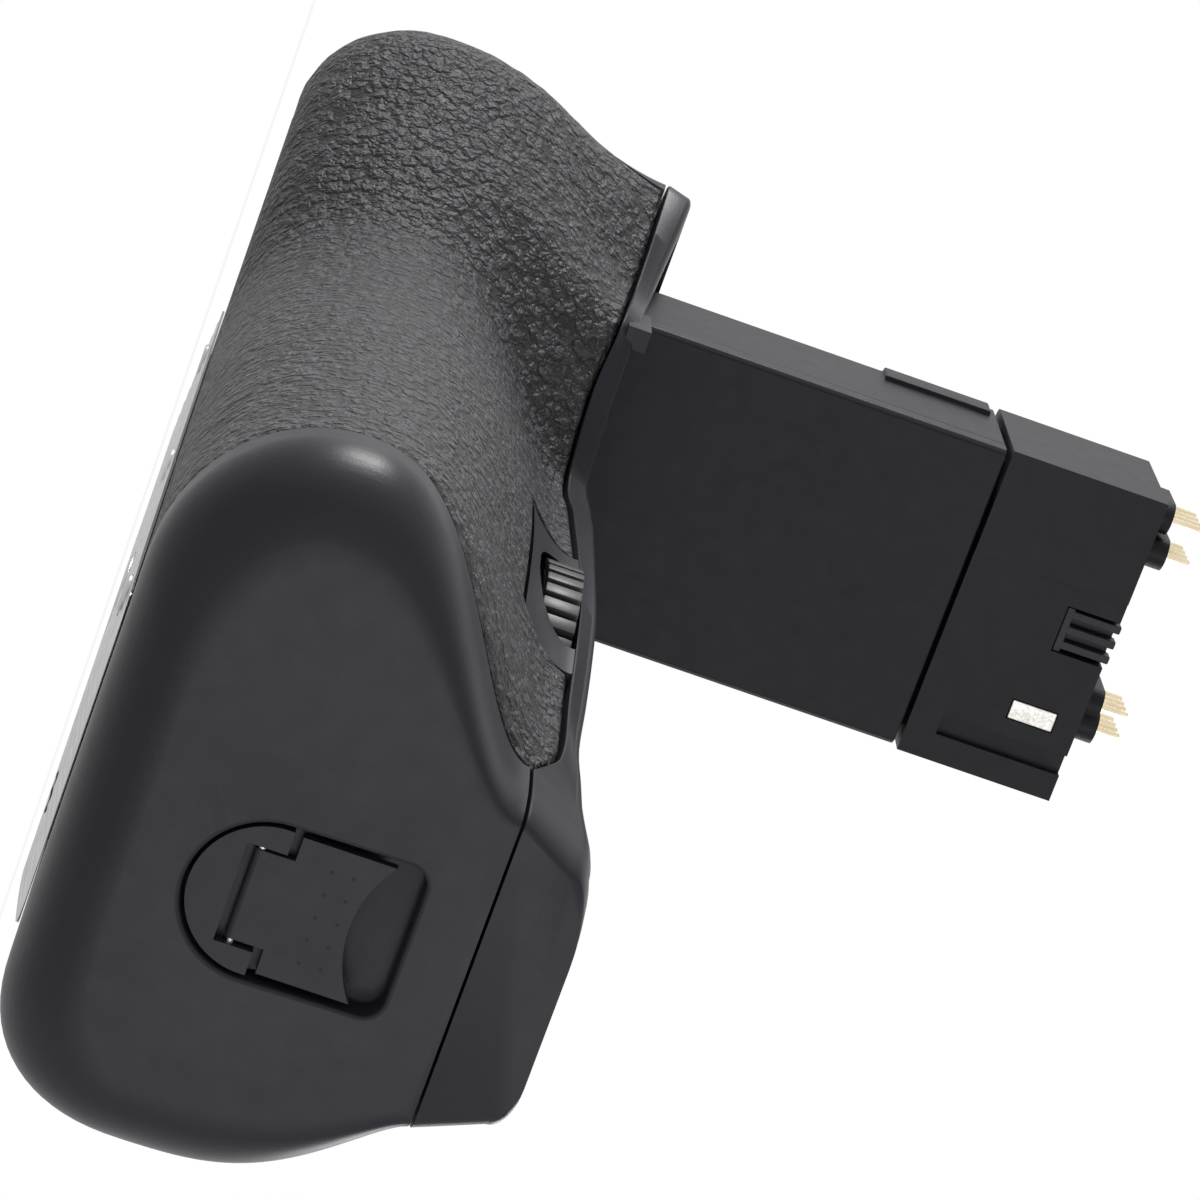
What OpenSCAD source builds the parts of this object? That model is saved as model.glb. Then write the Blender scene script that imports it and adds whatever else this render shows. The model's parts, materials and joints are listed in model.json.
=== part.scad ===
// Camera battery grip. It screws under a camera body, its stalk fills the camera's battery bay,
// and a magazine with two flat battery packs slides in from the near end.
// Millimetres. The Z axis is the tripod axis, +X is the magazine end, -Y the front, z = 0 the floor.

$fn = 48;

/* [Body] */
// Tripod axis to the magazine end
near_len = 53; // [52:0.5:58]
// Stalk to the far end face
stalk_room = 6.3; // [6:0.1:10]
// Height of the face that the camera sits on
mate_z = 44; // [44:0.5:48]
// Height of the body's underside
base_z = 1.2; // [1:0.1:1.6]
// Reach of the low front wall from the tripod axis
nose_reach = 35.1; // [34:0.1:39]
// Reach of the hand grip's crest
grip_reach = 50.2; // [47:0.1:54]
// Reach of the back wall
back_reach = 31.7; // [31:0.1:35]
// Height of the widest part of the body
belly_z = 16; // [14:0.5:18]
// Crest of the hand grip, from the tripod axis
grip_x = 76; // [72:0.5:80]
// Valley where the hand grip starts to swell
valley_x = 44; // [40:0.5:48]
// Concave corner of the top case in front of the stalk
kink_x = 50; // [48:0.5:52]
// Rounding of the magazine end
near_r = 9; // [6:0.5:11]
// Rounding of the far end
far_r = 13; // [9:0.5:15]
// Wall of the housing
shell_t = 2.2; // [1.6:0.1:2.6]
// Gap at seams between pieces
seam = 0.3; // [0.3:0.05:0.5]

/* [Top case] */
// Front of the top case at the thumbwheel
strip_front = 16.3; // [15.5:0.1:16.6]
// Front of the top case at the magazine end
strip_near = 11.5; // [10:0.1:13]
// Front of the top case just past the concave corner
strip_grip = 31.2; // [30.5:0.1:34]
// Front of the top case at the far end
strip_far = 42.2; // [41:0.1:44]
// Back of the top case
strip_back = 21.4; // [20.5:0.1:24]
// Drop from the mating face to the end cover's seam
strip_h = 4.9; // [4:0.1:6]
// Rise of the near lip above the mating face
near_lip = 3.3; // [2:0.1:5]
// Rise of the far lip above the mating face
far_lip = 2.5; // [2:0.1:5]
// Depth of the floor round the stalk below the mating face
root_drop = 1.8; // [1:0.1:2]
// Thickness of the lips
lip_t = 2.4; // [1.8:0.1:3]
// Thickness of the mating plate
plate_t = 2; // [1.4:0.1:2.4]

/* [Rubber] */
// Thickness of the grip rubber, across the grip
rubber_t = 2; // [1.4:0.1:2.4]
// Thickness of the rear rubber
rear_rubber_t = 1.6; // [1.2:0.1:2]
// Far edge of the grip rubber, in from the far end
rubber_in = 5; // [3:0.5:8]
// Near edge of the rear rubber
rear_near = 12; // [8:1:20]
// Far edge of the rear rubber
rear_far = 44; // [36:1:46]
// Thickness of the pad under the base
pad_t = 1.1; // [0.9:0.1:1.1]

/* [Base] */
// Front edge of the base pad, from the tripod axis
pad_front = 14; // [13.5:0.5:18]
// Back edge of the base pad, from the tripod axis
pad_back = 18.7; // [16:0.1:19]
// Corner radius of the base pad
pad_r = 3; // [2:0.5:4]
// Far pair of base screws, from the tripod axis
screw_far = 66; // [64:1:68]
// Middle pair of base screws
screw_mid = 20; // [16:1:24]
// Near pair of base screws
screw_near = 26; // [22:1:28]
// Base screws, either side of the tripod axis
screw_side = 10; // [9.5:0.5:11]
// Radius of a base screw
base_screw_r = 1; // [0.8:0.1:1.2]

/* [Boards] */
// Thickness of the boards
board_t = 1; // [0.8:0.1:1.2]
// Side of the main board
board_side = 22; // [18:1:24]
// Far edge of the main board, from the tripod axis
board_far = 46; // [44:1:48]
// Front edge of the main board, from the tripod axis
board_front = 6; // [4:1:8]
// Height of the control board
control_board_h = 24; // [20:0.5:24]
// Control and rear boards past their outer controls
board_over = 5; // [4:0.5:6]
// Height of the rear board
rear_board_h = 12; // [10:0.5:14]

/* [Magazine] */
// Length of a battery pack
cell_l = 56.8; // [55:0.1:57]
// Width of a battery pack
cell_w = 38.4; // [37:0.1:38.6]
// Height of a battery pack
cell_h = 21; // [20:0.1:21.2]
// Play round a battery pack
cell_play = 0.2; // [0.1:0.05:0.3]
// Side walls of the tray
tray_wall = 0.7; // [0.6:0.05:0.8]
// Floor of the tray
tray_floor = 0.6; // [0.5:0.05:0.7]
// Wall between the two packs
divider_t = 1.2; // [1:0.1:1.4]
// Play between the tray and its chamber
tray_play = 0.3; // [0.3:0.05:0.4]
// Wall of the chamber
liner_t = 0.9; // [0.7:0.1:1]
// Floor of the chamber above the ground
chamber_z = 6.2; // [6:0.1:6.6]
// Middle of the tray, behind the tripod axis
tray_y = 3.2; // [2.8:0.1:3.6]
// Length of the end cover
cover_l = 12; // [11.5:0.1:12.5]
// Battery chamber to the far end face, room for the controls
control_room = 12; // [12:0.1:16]
// Depth of the hollow in the end cover
cover_hollow = 5; // [4.8:0.1:5.2]
// Lean of the end face, in mm per mm of height
face_lean = 0.05; // [0:0.01:0.08]

/* [Handle] */
// Knob axis behind the tripod axis
knob_y = 4.2; // [3:0.1:6]
// Height of the knob axis
knob_z = 20.4; // [19:0.1:22]
// Radius of the knob base
knob_r = 6.9; // [6.5:0.1:7.2]
// Running gap round the knob base
knob_gap = 0.4; // [0.35:0.05:0.5]
// Depth of the recess
recess_d = 4; // [3.8:0.1:4.4]
// Recess above the knob axis
recess_up = 12.8; // [12.4:0.1:14]
// Half width of the handle
flap_half = 6.6; // [6.2:0.1:6.6]
// Half width of the handle's tongue
tongue_half = 4.3; // [3.8:0.1:4.6]
// Thickness of the handle
flap_t = 1.2; // [1:0.1:1.3]
// Handle's finger edge above the knob axis
flap_up = 10; // [9:0.1:10.2]
// Radius of the finger scallop
scallop_r = 11; // [9:0.5:14]
// Hinge below the knob axis
hinge_drop = 1.7; // [1.4:0.1:2]
// Gap between the handle and the arms of its hinge
hinge_gap = 0.8; // [0.4:0.1:1]
// Radius of the hinge pin
hinge_r = 0.4; // [0.3:0.05:0.4]
// Radius of the latch shaft
shaft_r = 2.2; // [1.8:0.1:2.6]
// Reach of the latch cam
cam_reach = 7.5; // [6:0.5:8]

/* [Wheel and screw] */
// Radius of the thumbwheel
wheel_r = 18.5; // [18:0.1:18.8]
// Thickness of the thumbwheel
wheel_t = 3.6; // [3.4:0.1:4]
// Gap above and below the thumbwheel
wheel_gap = 0.5; // [0.4:0.1:0.8]
// Ribs round the thumbwheel
rib_count = 48; // [36:2:56]
// Depth of the ribs
rib_depth = 0.9; // [0.5:0.1:1.2]
// Radius of the camera screw
screw_r = 3.175; // [2.5:0.005:4]
// Screw above the mating face
screw_up = 2.8; // [2:0.1:4]
// Radius of the screw's lower journal
journal_r = 4; // [3.5:0.1:5]
// Running clearance of shafts
run = 0.05; // [0.03:0.01:0.08]
// Radius of the tripod socket
socket_r = 3.175; // [2.5:0.005:4]
// Wall of the tripod socket
socket_wall = 3; // [2:0.1:4]
// Radius of the locating pin
locate_r = 1.5; // [1:0.1:2]
// Locating pin, from the screw towards the stalk
locate_x = 26; // [24:1:30]

/* [Stalk] */
// Near face of the stalk, from the tripod axis
stalk_x = 64; // [63:0.5:65]
// Thickness of the stalk
stalk_t = 20; // [18:0.1:20.4]
// Width of the stalk
stalk_w = 35.5; // [33:0.1:36]
// Front of the stalk
stalk_front = 30.4; // [29:0.1:30.5]
// Thickness of the stalk's lid
lid_t = 2.8; // [2:0.1:3.5]
// Wall of the stalk
stalk_wall = 1.6; // [1.2:0.1:2]
// Bottom of the stalk head above the mating face
head_up = 42.6; // [38:0.1:46]
// Height of the stalk head
head_h = 18; // [16:0.1:20]
// How far the head stands proud of the stalk
head_proud = 0.3; // [0.2:0.05:0.5]
// Groove between the stalk and its head
head_groove = 0.6; // [0.4:0.1:1]
// Height of the pin blocks
block_h = 2.6; // [2:0.1:3]
// Radius of a contact pin
pin_r = 0.35; // [0.3:0.05:0.4]
// Reach of the pins above their block
pin_up = 3; // [2:0.1:3.5]
// Way for the cable, across the stalk's thickness
cable_t = 8; // [6:0.5:9]
// Way for the cable, across the stalk's width
cable_w = 22; // [18:1:24]
// Width of the ribbon cable
ribbon_w = 16; // [12:1:17]
// Pins in a row
pin_count = 4; // [3:1:5]
// Spacing of the pins
pin_pitch = 2; // [1.8:0.1:2.2]

/* [Controls] */
// Height of the controls on the far end
control_z = 22; // [20:0.5:24]
// Radius of the shutter button
shutter_r = 4.6; // [4:0.1:5]
// Shutter button in front of the tripod axis
shutter_y = 24; // [22:0.5:25]
// Radius of the control dial
dial_r = 4.7; // [4.4:0.1:4.8]
// Width of the control dial
dial_w = 5; // [4:0.1:6]
// Control dial in front of the tripod axis
dial_y = 11.5; // [10:0.5:12]
// Ridges round the control dial
dial_ridges = 24; // [16:2:28]
// Radius of the small buttons
button_r = 3; // [2.4:0.1:3.2]
// Gap round each button
button_gap = 0.25; // [0.2:0.05:0.3]
// How far the far end controls stand out
proud = 1; // [0.6:0.1:1.2]
// Spacing of the rear buttons
rear_pitch = 10; // [9:0.5:11]
// Rear buttons, the first one from the tripod axis
rear_x = 54; // [52:0.5:55]

/* [Hidden] */

case_black = [0.16, 0.16, 0.17];
stalk_black = [0.12, 0.12, 0.13];
rubber_black = [0.2, 0.2, 0.21];
gold = [0.85, 0.7, 0.4];
nickel = [0.75, 0.75, 0.73];
steel = [0.6, 0.6, 0.62];
brass = [0.7, 0.58, 0.3];
board_green = [0.12, 0.35, 0.2];

split_x = near_len - cover_l;
tray_w = cell_w + 2 * (cell_play + tray_wall);
tray_h = cell_h + tray_floor + cell_play;
bay_l = cell_l + 2 * cell_play;
tray_front = 2.6;
tray_near = split_x + 1.3;
tray_len = 2 * bay_l + 2 * divider_t + tray_front;
tray_far = tray_near - tray_len;
bay_xs = [for (i = [0, 1]) tray_far + divider_t + i * (bay_l + divider_t)];
tray_z = chamber_z + tray_play;
tray_y0 = tray_y - tray_w / 2;
tray_back = 1.2;
chamber_far = tray_far - tray_back;
chamber_w = tray_w + 2 * tray_play;
chamber_h = tray_h + 2 * tray_play;
roof_z = chamber_z + chamber_h + liner_t;
// The far end leaves room for the controls past the chamber, and stands past the stalk
far_len = max(control_room - chamber_far, stalk_x + stalk_t + stalk_room);

seam_z = mate_z - strip_h;
back_top = seam_z - seam / 2;
root_z = mate_z - root_drop;
near_lip_z = mate_z + near_lip;
far_lip_z = mate_z + far_lip;
rubber_far = -far_len + rubber_in;
wheel_z = mate_z - plate_t - wheel_gap - wheel_t;
step = 0.1;

// Smooth curve through [x, value] keys
function key_at(x, t, i = 0) = (i >= len(t) - 2 || x <= t[i + 1][0]) ? i : key_at(x, t, i + 1);
function slope_at(t, i) = (i == 0 || i == len(t) - 1) ? 0
    : (t[i + 1][1] - t[i - 1][1]) / (t[i + 1][0] - t[i - 1][0]);
function between(u, a, b, ma, mb) = (2 * u ^ 3 - 3 * u ^ 2 + 1) * a + (u ^ 3 - 2 * u ^ 2 + u) * ma
    + (3 * u ^ 2 - 2 * u ^ 3) * b + (u ^ 3 - u ^ 2) * mb;
function on_span(x, t, i) = let (h = t[i + 1][0] - t[i][0])
    between((x - t[i][0]) / h, t[i][1], t[i + 1][1], slope_at(t, i) * h, slope_at(t, i + 1) * h);
function glide(x, t) = x <= t[0][0] ? t[0][1] : x >= t[len(t) - 1][0] ? t[len(t) - 1][1]
    : on_span(x, t, key_at(x, t));

// Lines of the body along X: front wall, top case front, top edge and lower edge of the top case
front_keys = [[-far_len, 2 - grip_reach], [-grip_x, -grip_reach],
              [-(grip_x + valley_x) / 2, -(grip_reach + nose_reach) / 2 - 0.3], [-valley_x, -nose_reach],
              [0, -nose_reach], [split_x, -nose_reach]];
strip_keys = [[-far_len, -strip_far], [-kink_x - 20, -strip_grip - 1.8], [-kink_x - 8, -strip_grip],
              [-kink_x - 3, -(strip_grip + strip_front) / 2], [-kink_x + 2, -strip_front + 0.4],
              [-kink_x + 14, -strip_front + 1], [-13, -strip_front], [0, -strip_front],
              [10, -strip_front + 1.2], [24, -strip_near - 1.2], [split_x, -strip_near],
              [near_len, -strip_near]];
top_keys = [[-far_len, far_lip_z], [-kink_x - 23, mate_z + 0.6], [-kink_x - 7, mate_z - 0.8],
            [-kink_x - 2, mate_z - 1], [-kink_x + 1, mate_z - 0.9], [-kink_x + 6, mate_z + 0.1],
            [-12, mate_z + 0.1], [17, mate_z + 0.3], [27, mate_z + 0.3], [36, mate_z + 0.4 * near_lip],
            [45, near_lip_z - 0.1], [near_len, near_lip_z]];
under_keys = [[-far_len, seam_z + 4], [-kink_x - 25, seam_z + 3.4], [-kink_x - 7, seam_z + 1.9],
              [-kink_x - 3.5, seam_z + 1.2], [-kink_x + 1.6, seam_z + 1.4], [-36, seam_z + 2.1],
              [-15, seam_z + 2.4], [22, seam_z + 2.7], [split_x - 5, seam_z + 2.4],
              [split_x - 0.8, seam_z + 0.6], [split_x, seam_z]];
lean_keys = [[-far_len, 0.6], [-kink_x, 0.8], [0, 1.2], [24, 2.2], [split_x, 2.8], [near_len, 3]];
ease_keys = [[-grip_x, 1.4], [-valley_x, 1.9]];
belly_keys = [[-grip_x, belly_z - 1.2], [-valley_x, belly_z]];
foot_keys = [[-grip_x, 12], [-valley_x, 16]];
crown_keys = [[30, 1.2], [48, 8]];
crown_rise_keys = [[30, 0.7], [48, near_lip * 0.85]];

// How far the ends of the body are drawn in at x
function rounded(t, r) = t < r ? r - sqrt(max(0, r ^ 2 - (r - t) ^ 2)) : 0;
function draw_in(x) = rounded(near_len - x, near_r) + rounded(x + far_len, far_r);
function strip_in(x) = 0.25 * rounded(near_len - x, near_r) + rounded(x + far_len, strip_r);
function underside(x) = base_z + 0.75 * draw_in(x);
function front_at(x) = glide(x, front_keys) + draw_in(x);
strip_r = 5;
function strip_at(x) = glide(x, strip_keys) + strip_in(x);
function back_at(x) = back_reach - 0.75 * draw_in(x);
function strip_back_at(x) = strip_back - 0.25 * draw_in(x);
function belly_at(x) = glide(x, belly_keys);
function under_at(x) = glide(x, under_keys);
function top_at(x) = glide(x, top_keys);
function top_front_at(x) = strip_at(x) + glide(x, lean_keys);
function top_back_at(x) = strip_back_at(x) - 0.8 * glide(x, lean_keys);

// The end face leans back a little as it rises
lean_x = split_x + 1;
function leaned(x, z) = x <= lean_x ? x
    : x - (x - lean_x) / (near_len - lean_x) * face_lean * (z - 14);

FOOT = 6;
WALL = 9;
LINE = FOOT + WALL + 1;
// Front curve from the base to the top case, drawn in by d and lifted by lift at its foot
function front_curve(x, d, lift, top) = let (
    y = front_at(x) + d,
    z0 = underside(x) + lift,
    r = glide(x, foot_keys),
    b = belly_at(x)) concat(
    [for (i = [0:FOOT - 1]) let (a = 90 * i / FOOT) [y + r * (1 - sin(a)), b - (b - z0) * cos(a)]],
    [for (i = [0:WALL]) let (z = b + (top - b) * i / WALL) [wall_at(x, z, top) + d, z]]);
// Front wall at height z between the belly and the top case
function wall_at(x, z, top) = let (
    b = belly_at(x),
    u = (z - b) / (top - b),
    y = front_at(x)) y + (strip_at(x) - y) * (1 - (1 - u ^ 2.4) ^ glide(x, ease_keys));
// Back curve from the top case to the base, with a full corner at the base
back_foot = 13;
FULL = 0.83;
function back_curve(x, d, lift, top) = let (
    y = back_at(x) - d,
    z0 = underside(x) + lift,
    t = strip_back_at(x) - d) concat(
    [for (i = [WALL:-1:1]) let (u = i / WALL)
        [y - (y - t) * (1 - (1 - u ^ 3) ^ 1.4), belly_z + (top - belly_z) * u]],
    [for (i = [FOOT:-1:0]) let (a = 90 * i / FOOT)
        [y - back_foot * (1 - sin(a) ^ FULL), belly_z - (belly_z - z0) * cos(a) ^ FULL]]);

// Rings of points at stations along X, skinned into one solid and closed by a ladder of triangles at each end.
// The quads of a skin that runs the other way, from point p to q of a ring, are split so that they match the
// skin beside them
function ring3(x, pts) = [for (p = pts) [leaned(x, p[1]), p[0], p[1]]];
module skin(rings, p = 0, q = 0) {
    m = len(rings[0]);
    n = len(rings);
    walls = [for (i = [0:n - 2], j = [0:m - 1], k = [0:1]) let (a = i * m + j, b = i * m + (j + 1) % m)
        let (c = j >= p && j < q ? a + m : b + m, d = j >= p && j < q ? b : a)
        k == 0 ? [a, b, c] : [d, b + m, a + m]];
    rungs = [for (j = [0:floor(m / 2)], k = [0:1])
        let (t = k == 0 ? [j, j + 1, m - 1 - j] : [j + 1, m - 2 - j, m - 1 - j])
        if (t[0] < t[1] && t[1] < t[2]) t];
    far_end = [for (t = rungs) [t[2], t[1], t[0]]];
    near_end = [for (t = rungs) [for (j = t) (n - 1) * m + j]];
    polyhedron([for (r = rings) for (p = r) p], concat(walls, far_end, near_end), convexity = 8);
}

far_stations = [for (a = [90:-15:0]) -far_len + far_r * (1 - sin(a))];
mid_stations = [-70, -65, -kink_x - 11, -kink_x - 8, -kink_x - 5, -kink_x - 2.5, -kink_x, -kink_x + 3,
                -valley_x + 2, -36, -26, -13, 0, 12, 24, 34];
near_stations = [for (a = [0:15:90]) near_len - near_r + near_r * sin(a)];
seam_stations = [rubber_far, -rear_far, -rear_near, split_x - 5, split_x - 2.4, split_x];
function sorted(v) = len(v) < 2 ? v : concat(sorted([for (x = v) if (x < v[0]) x]), [v[0]],
    sorted([for (x = v) if (x > v[0]) x]));
stations = sorted(concat(far_stations, mid_stations, near_stations, seam_stations));
// Stations from x0 to x1 with both ends included
function span(x0, x1) = concat([x0], [for (x = stations) if (x > x0 + 0.4 && x < x1 - 0.4) x], [x1]);

// The housing is drawn in under its two rubbers
function rubber_gap(x) = x >= rubber_far ? rubber_t + step : 0.05;
function rear_gap(x) = x < -rear_near && x > -rear_far ? rear_rubber_t + step : 0;
function housing_ring(x) = let (
    d = rubber_gap(x),
    top = under_at(x) - seam / 2,
    f = front_curve(x, d, max(0.05, 0.6 * d), top))
    ring3(x, concat([[f[0][0], underside(x)]], f, back_curve(x, rear_gap(x), 0, back_top)));
front_in = rubber_t + step + shell_t;
front_lift = 0.6 * (rubber_t + step) + shell_t;
back_in = rear_rubber_t + shell_t;
function hollow_ring(x) = let (
    f = front_curve(x, front_in, front_lift, under_at(x)),
    b = back_curve(x, back_in, shell_t, seam_z),
    floor_z = underside(x) + shell_t)
    ring3(x, concat([[f[0][0], floor_z]], f, [[f[len(f) - 1][0], mate_z], [b[0][0], mate_z]], b));
housing_stations = [for (x = concat(span(-far_len, rubber_far - step), span(rubber_far, -rear_far - step),
    span(-rear_far + step, -rear_near - step), span(-rear_near + step, split_x - seam / 2))) x];

module wheel_slot() {
    translate([0, 0, wheel_z - 2 * wheel_gap])
        cylinder(r = wheel_r + wheel_gap, h = wheel_t + 3 * wheel_gap);
}

far_face = -far_len;
button_z = control_z + 7;
function_y = 2;
lever_y = 11;
lever_z = control_z - 3;
rear_z = belly_z;
rear_xs = [for (i = [0:2]) -rear_x - i * rear_pitch];
screw_spots = [for (x = [-screw_far, -screw_mid, screw_near], y = [-screw_side, screw_side]) [x, y]];

module lower_housing() {
    color(case_black) difference() {
        skin([for (x = housing_stations) housing_ring(x)]);
        skin([for (x = span(-far_len + shell_t, split_x + 1)) hollow_ring(x)]);
        chamber_block(liner_t + step, 2);
        wheel_slot();
        translate([0, 0, -1]) cylinder(r = socket_out + step, h = shell_t + base_z + 2);
        for (p = screw_spots) translate([p[0], p[1], 0])
            cylinder(r = base_screw_r + step, h = shell_t + base_z + 1);
        far_hole(-shutter_y, control_z, ring_r + step);
        far_hole(function_y, button_z, button_r + button_gap);
        far_hole(lever_y, lever_z, lever_shaft_r + run);
        translate([far_face - proud, lever_y, lever_z]) rotate([0, 90, 0])
            cylinder(r = lever_r + seam, h = proud + lever_sink);
        translate([far_face - proud, -dial_y - dial_w / 2 - seam, control_z - dial_slot])
            cube([proud + shell_t + 2, dial_w + 2 * seam, 2 * dial_slot]);
        for (x = rear_xs) translate([x, back_reach - 2 * shell_t, rear_z]) rotate([-90, 0, 0])
            cylinder(r = button_r + button_gap, h = 3 * shell_t);
    }
}
module far_hole(y, z, r) {
    translate([far_face - 1, y, z]) rotate([0, 90, 0]) cylinder(r = r, h = shell_t + 2);
}

function rubber_ring(x) = let (
    top = under_at(x) - seam / 2,
    inner = front_curve(x, rubber_t, 0.6 * rubber_t, top))
    ring3(x, concat(front_curve(x, 0, 0, top), [for (i = [len(inner) - 1:-1:0]) inner[i]]));
module grip_rubber() {
    color(rubber_black) difference() {
        skin([for (x = span(rubber_far + step, split_x - seam / 2)) rubber_ring(x)], LINE, 2 * LINE - 1);
        translate([window_x[0], -grip_reach, window_z])
            cube([window_x[1] - window_x[0], grip_reach, mate_z]);
    }
}
// Plastic frame round the thumbwheel, in a window of the rubber
window_x = [-14, 17];
window_z = wheel_z - 2.3;
frame_sink = 0.3;
frame_gap = 0.4;
FRAME = 6;
function panel_ring(x) = let (
    top = under_at(x) - seam / 2,
    z0 = window_z + step,
    out = [for (i = [0:FRAME]) let (z = z0 + (top - z0) * i / FRAME) [wall_at(x, z, top) + frame_sink, z]],
    t = rubber_t - frame_sink - frame_gap)
    ring3(x, concat(out, [for (i = [FRAME:-1:0]) out[i] + [t, 0]]));
module wheel_frame() {
    color(case_black) difference() {
        skin([for (x = span(window_x[0] + step, window_x[1] - step)) panel_ring(x)]);
        wheel_slot();
    }
}

REAR_SKIP = 4;
module rear_rubber() {
    x0 = -rear_far + seam;
    x1 = -rear_near - seam;
    outer = back_curve((x0 + x1) / 2, 0, 0, back_top);
    inner = back_curve((x0 + x1) / 2, rear_rubber_t, 0, back_top);
    n = len(outer) - 1 - REAR_SKIP;
    color(rubber_black) translate([x0, 0, 0]) rotate([90, 0, 90]) linear_extrude(x1 - x0)
        polygon(concat([for (i = [n:-1:1]) inner[i]], [for (i = [1:n]) outer[i]]));
}

pad_far = rubber_far + far_r - rubber_in;
pad_near = split_x - 1;
module base_pad() {
    l = pad_near - pad_far;
    w = pad_front + pad_back;
    color(rubber_black) difference() {
        translate([pad_far, -pad_front, 0]) linear_extrude(pad_t) {
            translate([pad_r, 0]) square([l - 2 * pad_r, w]);
            translate([0, pad_r]) square([l, w - 2 * pad_r]);
            for (x = [pad_r, l - pad_r], y = [pad_r, w - pad_r]) translate([x, y]) circle(r = pad_r);
        }
        translate([0, 0, -1]) cylinder(r = socket_out + step, h = pad_t + 2);
        for (p = screw_spots) translate([p[0], p[1], -1])
            cylinder(r = 2 * base_screw_r + step, h = pad_t + 2);
    }
}
module base_screws() {
    color(steel) for (p = screw_spots) translate([p[0], p[1], 0.3]) difference() {
        union() {
            cylinder(r = 2 * base_screw_r, h = base_z - 0.4);
            cylinder(r = base_screw_r, h = chamber_z - liner_t - 0.6);
        }
        for (a = [0, 90]) rotate(a) translate([-1.2, -0.2, -0.1] * base_screw_r)
            cube([2.4, 0.4, 0.5] * base_screw_r);
    }
}

CROWN = 4;
function top_ring(x) = let (
    z0 = under_at(x) + seam / 2,
    z1 = top_at(x),
    f = top_front_at(x),
    b = top_back_at(x),
    cy = glide(x, crown_keys),
    cz = glide(x, crown_rise_keys),
    by = min(3.5, cy),
    bz = min(2, cz)) ring3(x, concat([[strip_at(x), z0]],
    [for (i = [0:CROWN]) let (a = 90 * i / CROWN) [f + cy * (1 - cos(a)), z1 - cz * (1 - sin(a))]],
    [for (i = [CROWN:-1:0]) let (a = 90 * i / CROWN) [b - by * (1 - cos(a)), z1 - bz * (1 - sin(a))]],
    [[strip_back_at(x), seam_z + seam / 2]]));
// Flat pocket inside the top case, between x0 and x1, set in by d
module inside_top(x0, x1, d, z0, z1) {
    xs = span(x0, x1);
    translate([0, 0, z0]) linear_extrude(z1 - z0) polygon(concat([for (x = xs) [x, top_front_at(x) + d]],
        [for (i = [len(xs) - 1:-1:0]) [xs[i], top_back_at(xs[i]) - d]]));
}
tab_l = 8;
tab_x = kink_x + 7;
module top_case() {
    color(case_black) difference() {
        union() {
            skin([for (x = span(-far_len, near_len)) top_ring(x)]);
            translate([-tab_x - tab_l, top_front_at(-tab_x - tab_l / 2) + 0.3, root_z - 0.2])
                cube([tab_l, lip_t, top_at(-tab_x - tab_l / 2) - root_z + 1.2]);
        }
        inside_top(-kink_x + 14, near_len - lip_t - 2, lip_t, mate_z, mate_z + 9);
        inside_top(-far_len + lip_t + 2, -kink_x + 12, lip_t, root_z, mate_z + 9);
        inside_top(-kink_x + 4, split_x, 2 * lip_t, chamber_z, mate_z - plate_t);
        wheel_slot();
        cylinder(r = screw_r + 2 * seam, h = mate_z + 1);
        translate([-locate_x, 0, mate_z - plate_t - 1]) cylinder(r = locate_r + 2 * seam, h = plate_t + 2);
        translate([0, 0, root_z]) linear_extrude(head_up) stalk_plan(-stalk_x + seam, seam);
        cable_way(chamber_z, mate_z, 1);
    }
}

// Block of the chamber's inside, grown by d on its sides and far end and by e at its mouth
module chamber_block(d, e) {
    translate([chamber_far - d, tray_y - chamber_w / 2 - d, chamber_z - d])
        cube([split_x - chamber_far + d + e, chamber_w + 2 * d, chamber_h + 2 * d]);
}
module battery_chamber() {
    color(case_black) difference() {
        chamber_block(liner_t, -seam / 2);
        chamber_block(0, 1);
        translate([chamber_far - 2 * liner_t, tray_y - block_w / 2 - step, block_z - step])
            cube([4 * liner_t, block_w + 2 * step, blade_block_h + 2 * step]);
    }
}
// Frame that fills the housing's mouth round the chamber
frame_l = 2;
function frame_ring(x) = ring3(x, concat(front_curve(x, front_in + step, front_lift + step, under_at(x) - 1),
    back_curve(x, back_in + step, shell_t + step, seam_z)));
module mouth_frame() {
    color(case_black) difference() {
        skin([for (x = span(split_x - seam - frame_l, split_x - seam)) frame_ring(x)]);
        chamber_block(liner_t + step, 2);
    }
}
block_w = 14;
blade_block_h = 6;
block_z = chamber_z + chamber_h / 2 - blade_block_h / 2;
blade_spots = [for (i = [-1:1]) i * 4];
blade_w = 1;
blade_h = 3.8;
blade_z = block_z + (blade_block_h - blade_h) / 2;
module terminal_block() {
    color(stalk_black) difference() {
        translate([chamber_far - liner_t, tray_y - block_w / 2, block_z])
            cube([liner_t, block_w, blade_block_h]);
        for (y = blade_spots) translate([0, tray_y + y - blade_w / 2 - step, blade_z - step])
            translate([chamber_far - 2 * liner_t, 0, 0])
            cube([3 * liner_t, blade_w + 2 * step, blade_h + 2 * step]);
    }
}
module terminal_blades() {
    color(brass) for (y = blade_spots)
        translate([chamber_far - liner_t, tray_y + y - blade_w / 2, blade_z])
        cube([liner_t + 0.4, blade_w, blade_h]);
}
module main_board() {
    color(board_green) translate([-board_far, -board_front, roof_z + 0.2])
        cube([board_side, board_side, board_t]);
}
control_board_x = chamber_far - liner_t - 0.3;
module control_board() {
    color(board_green) difference() {
        translate([control_board_x - board_t, -shutter_y - board_over, chamber_z])
            cube([board_t, shutter_y + lever_y + 2 * board_over, control_board_h]);
        translate([control_board_x - 2 * board_t, -dial_y - ear_y - step, control_z - dial_slot])
            cube([3 * board_t, 2 * ear_y + 2 * step, 2 * dial_slot]);
    }
}
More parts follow.
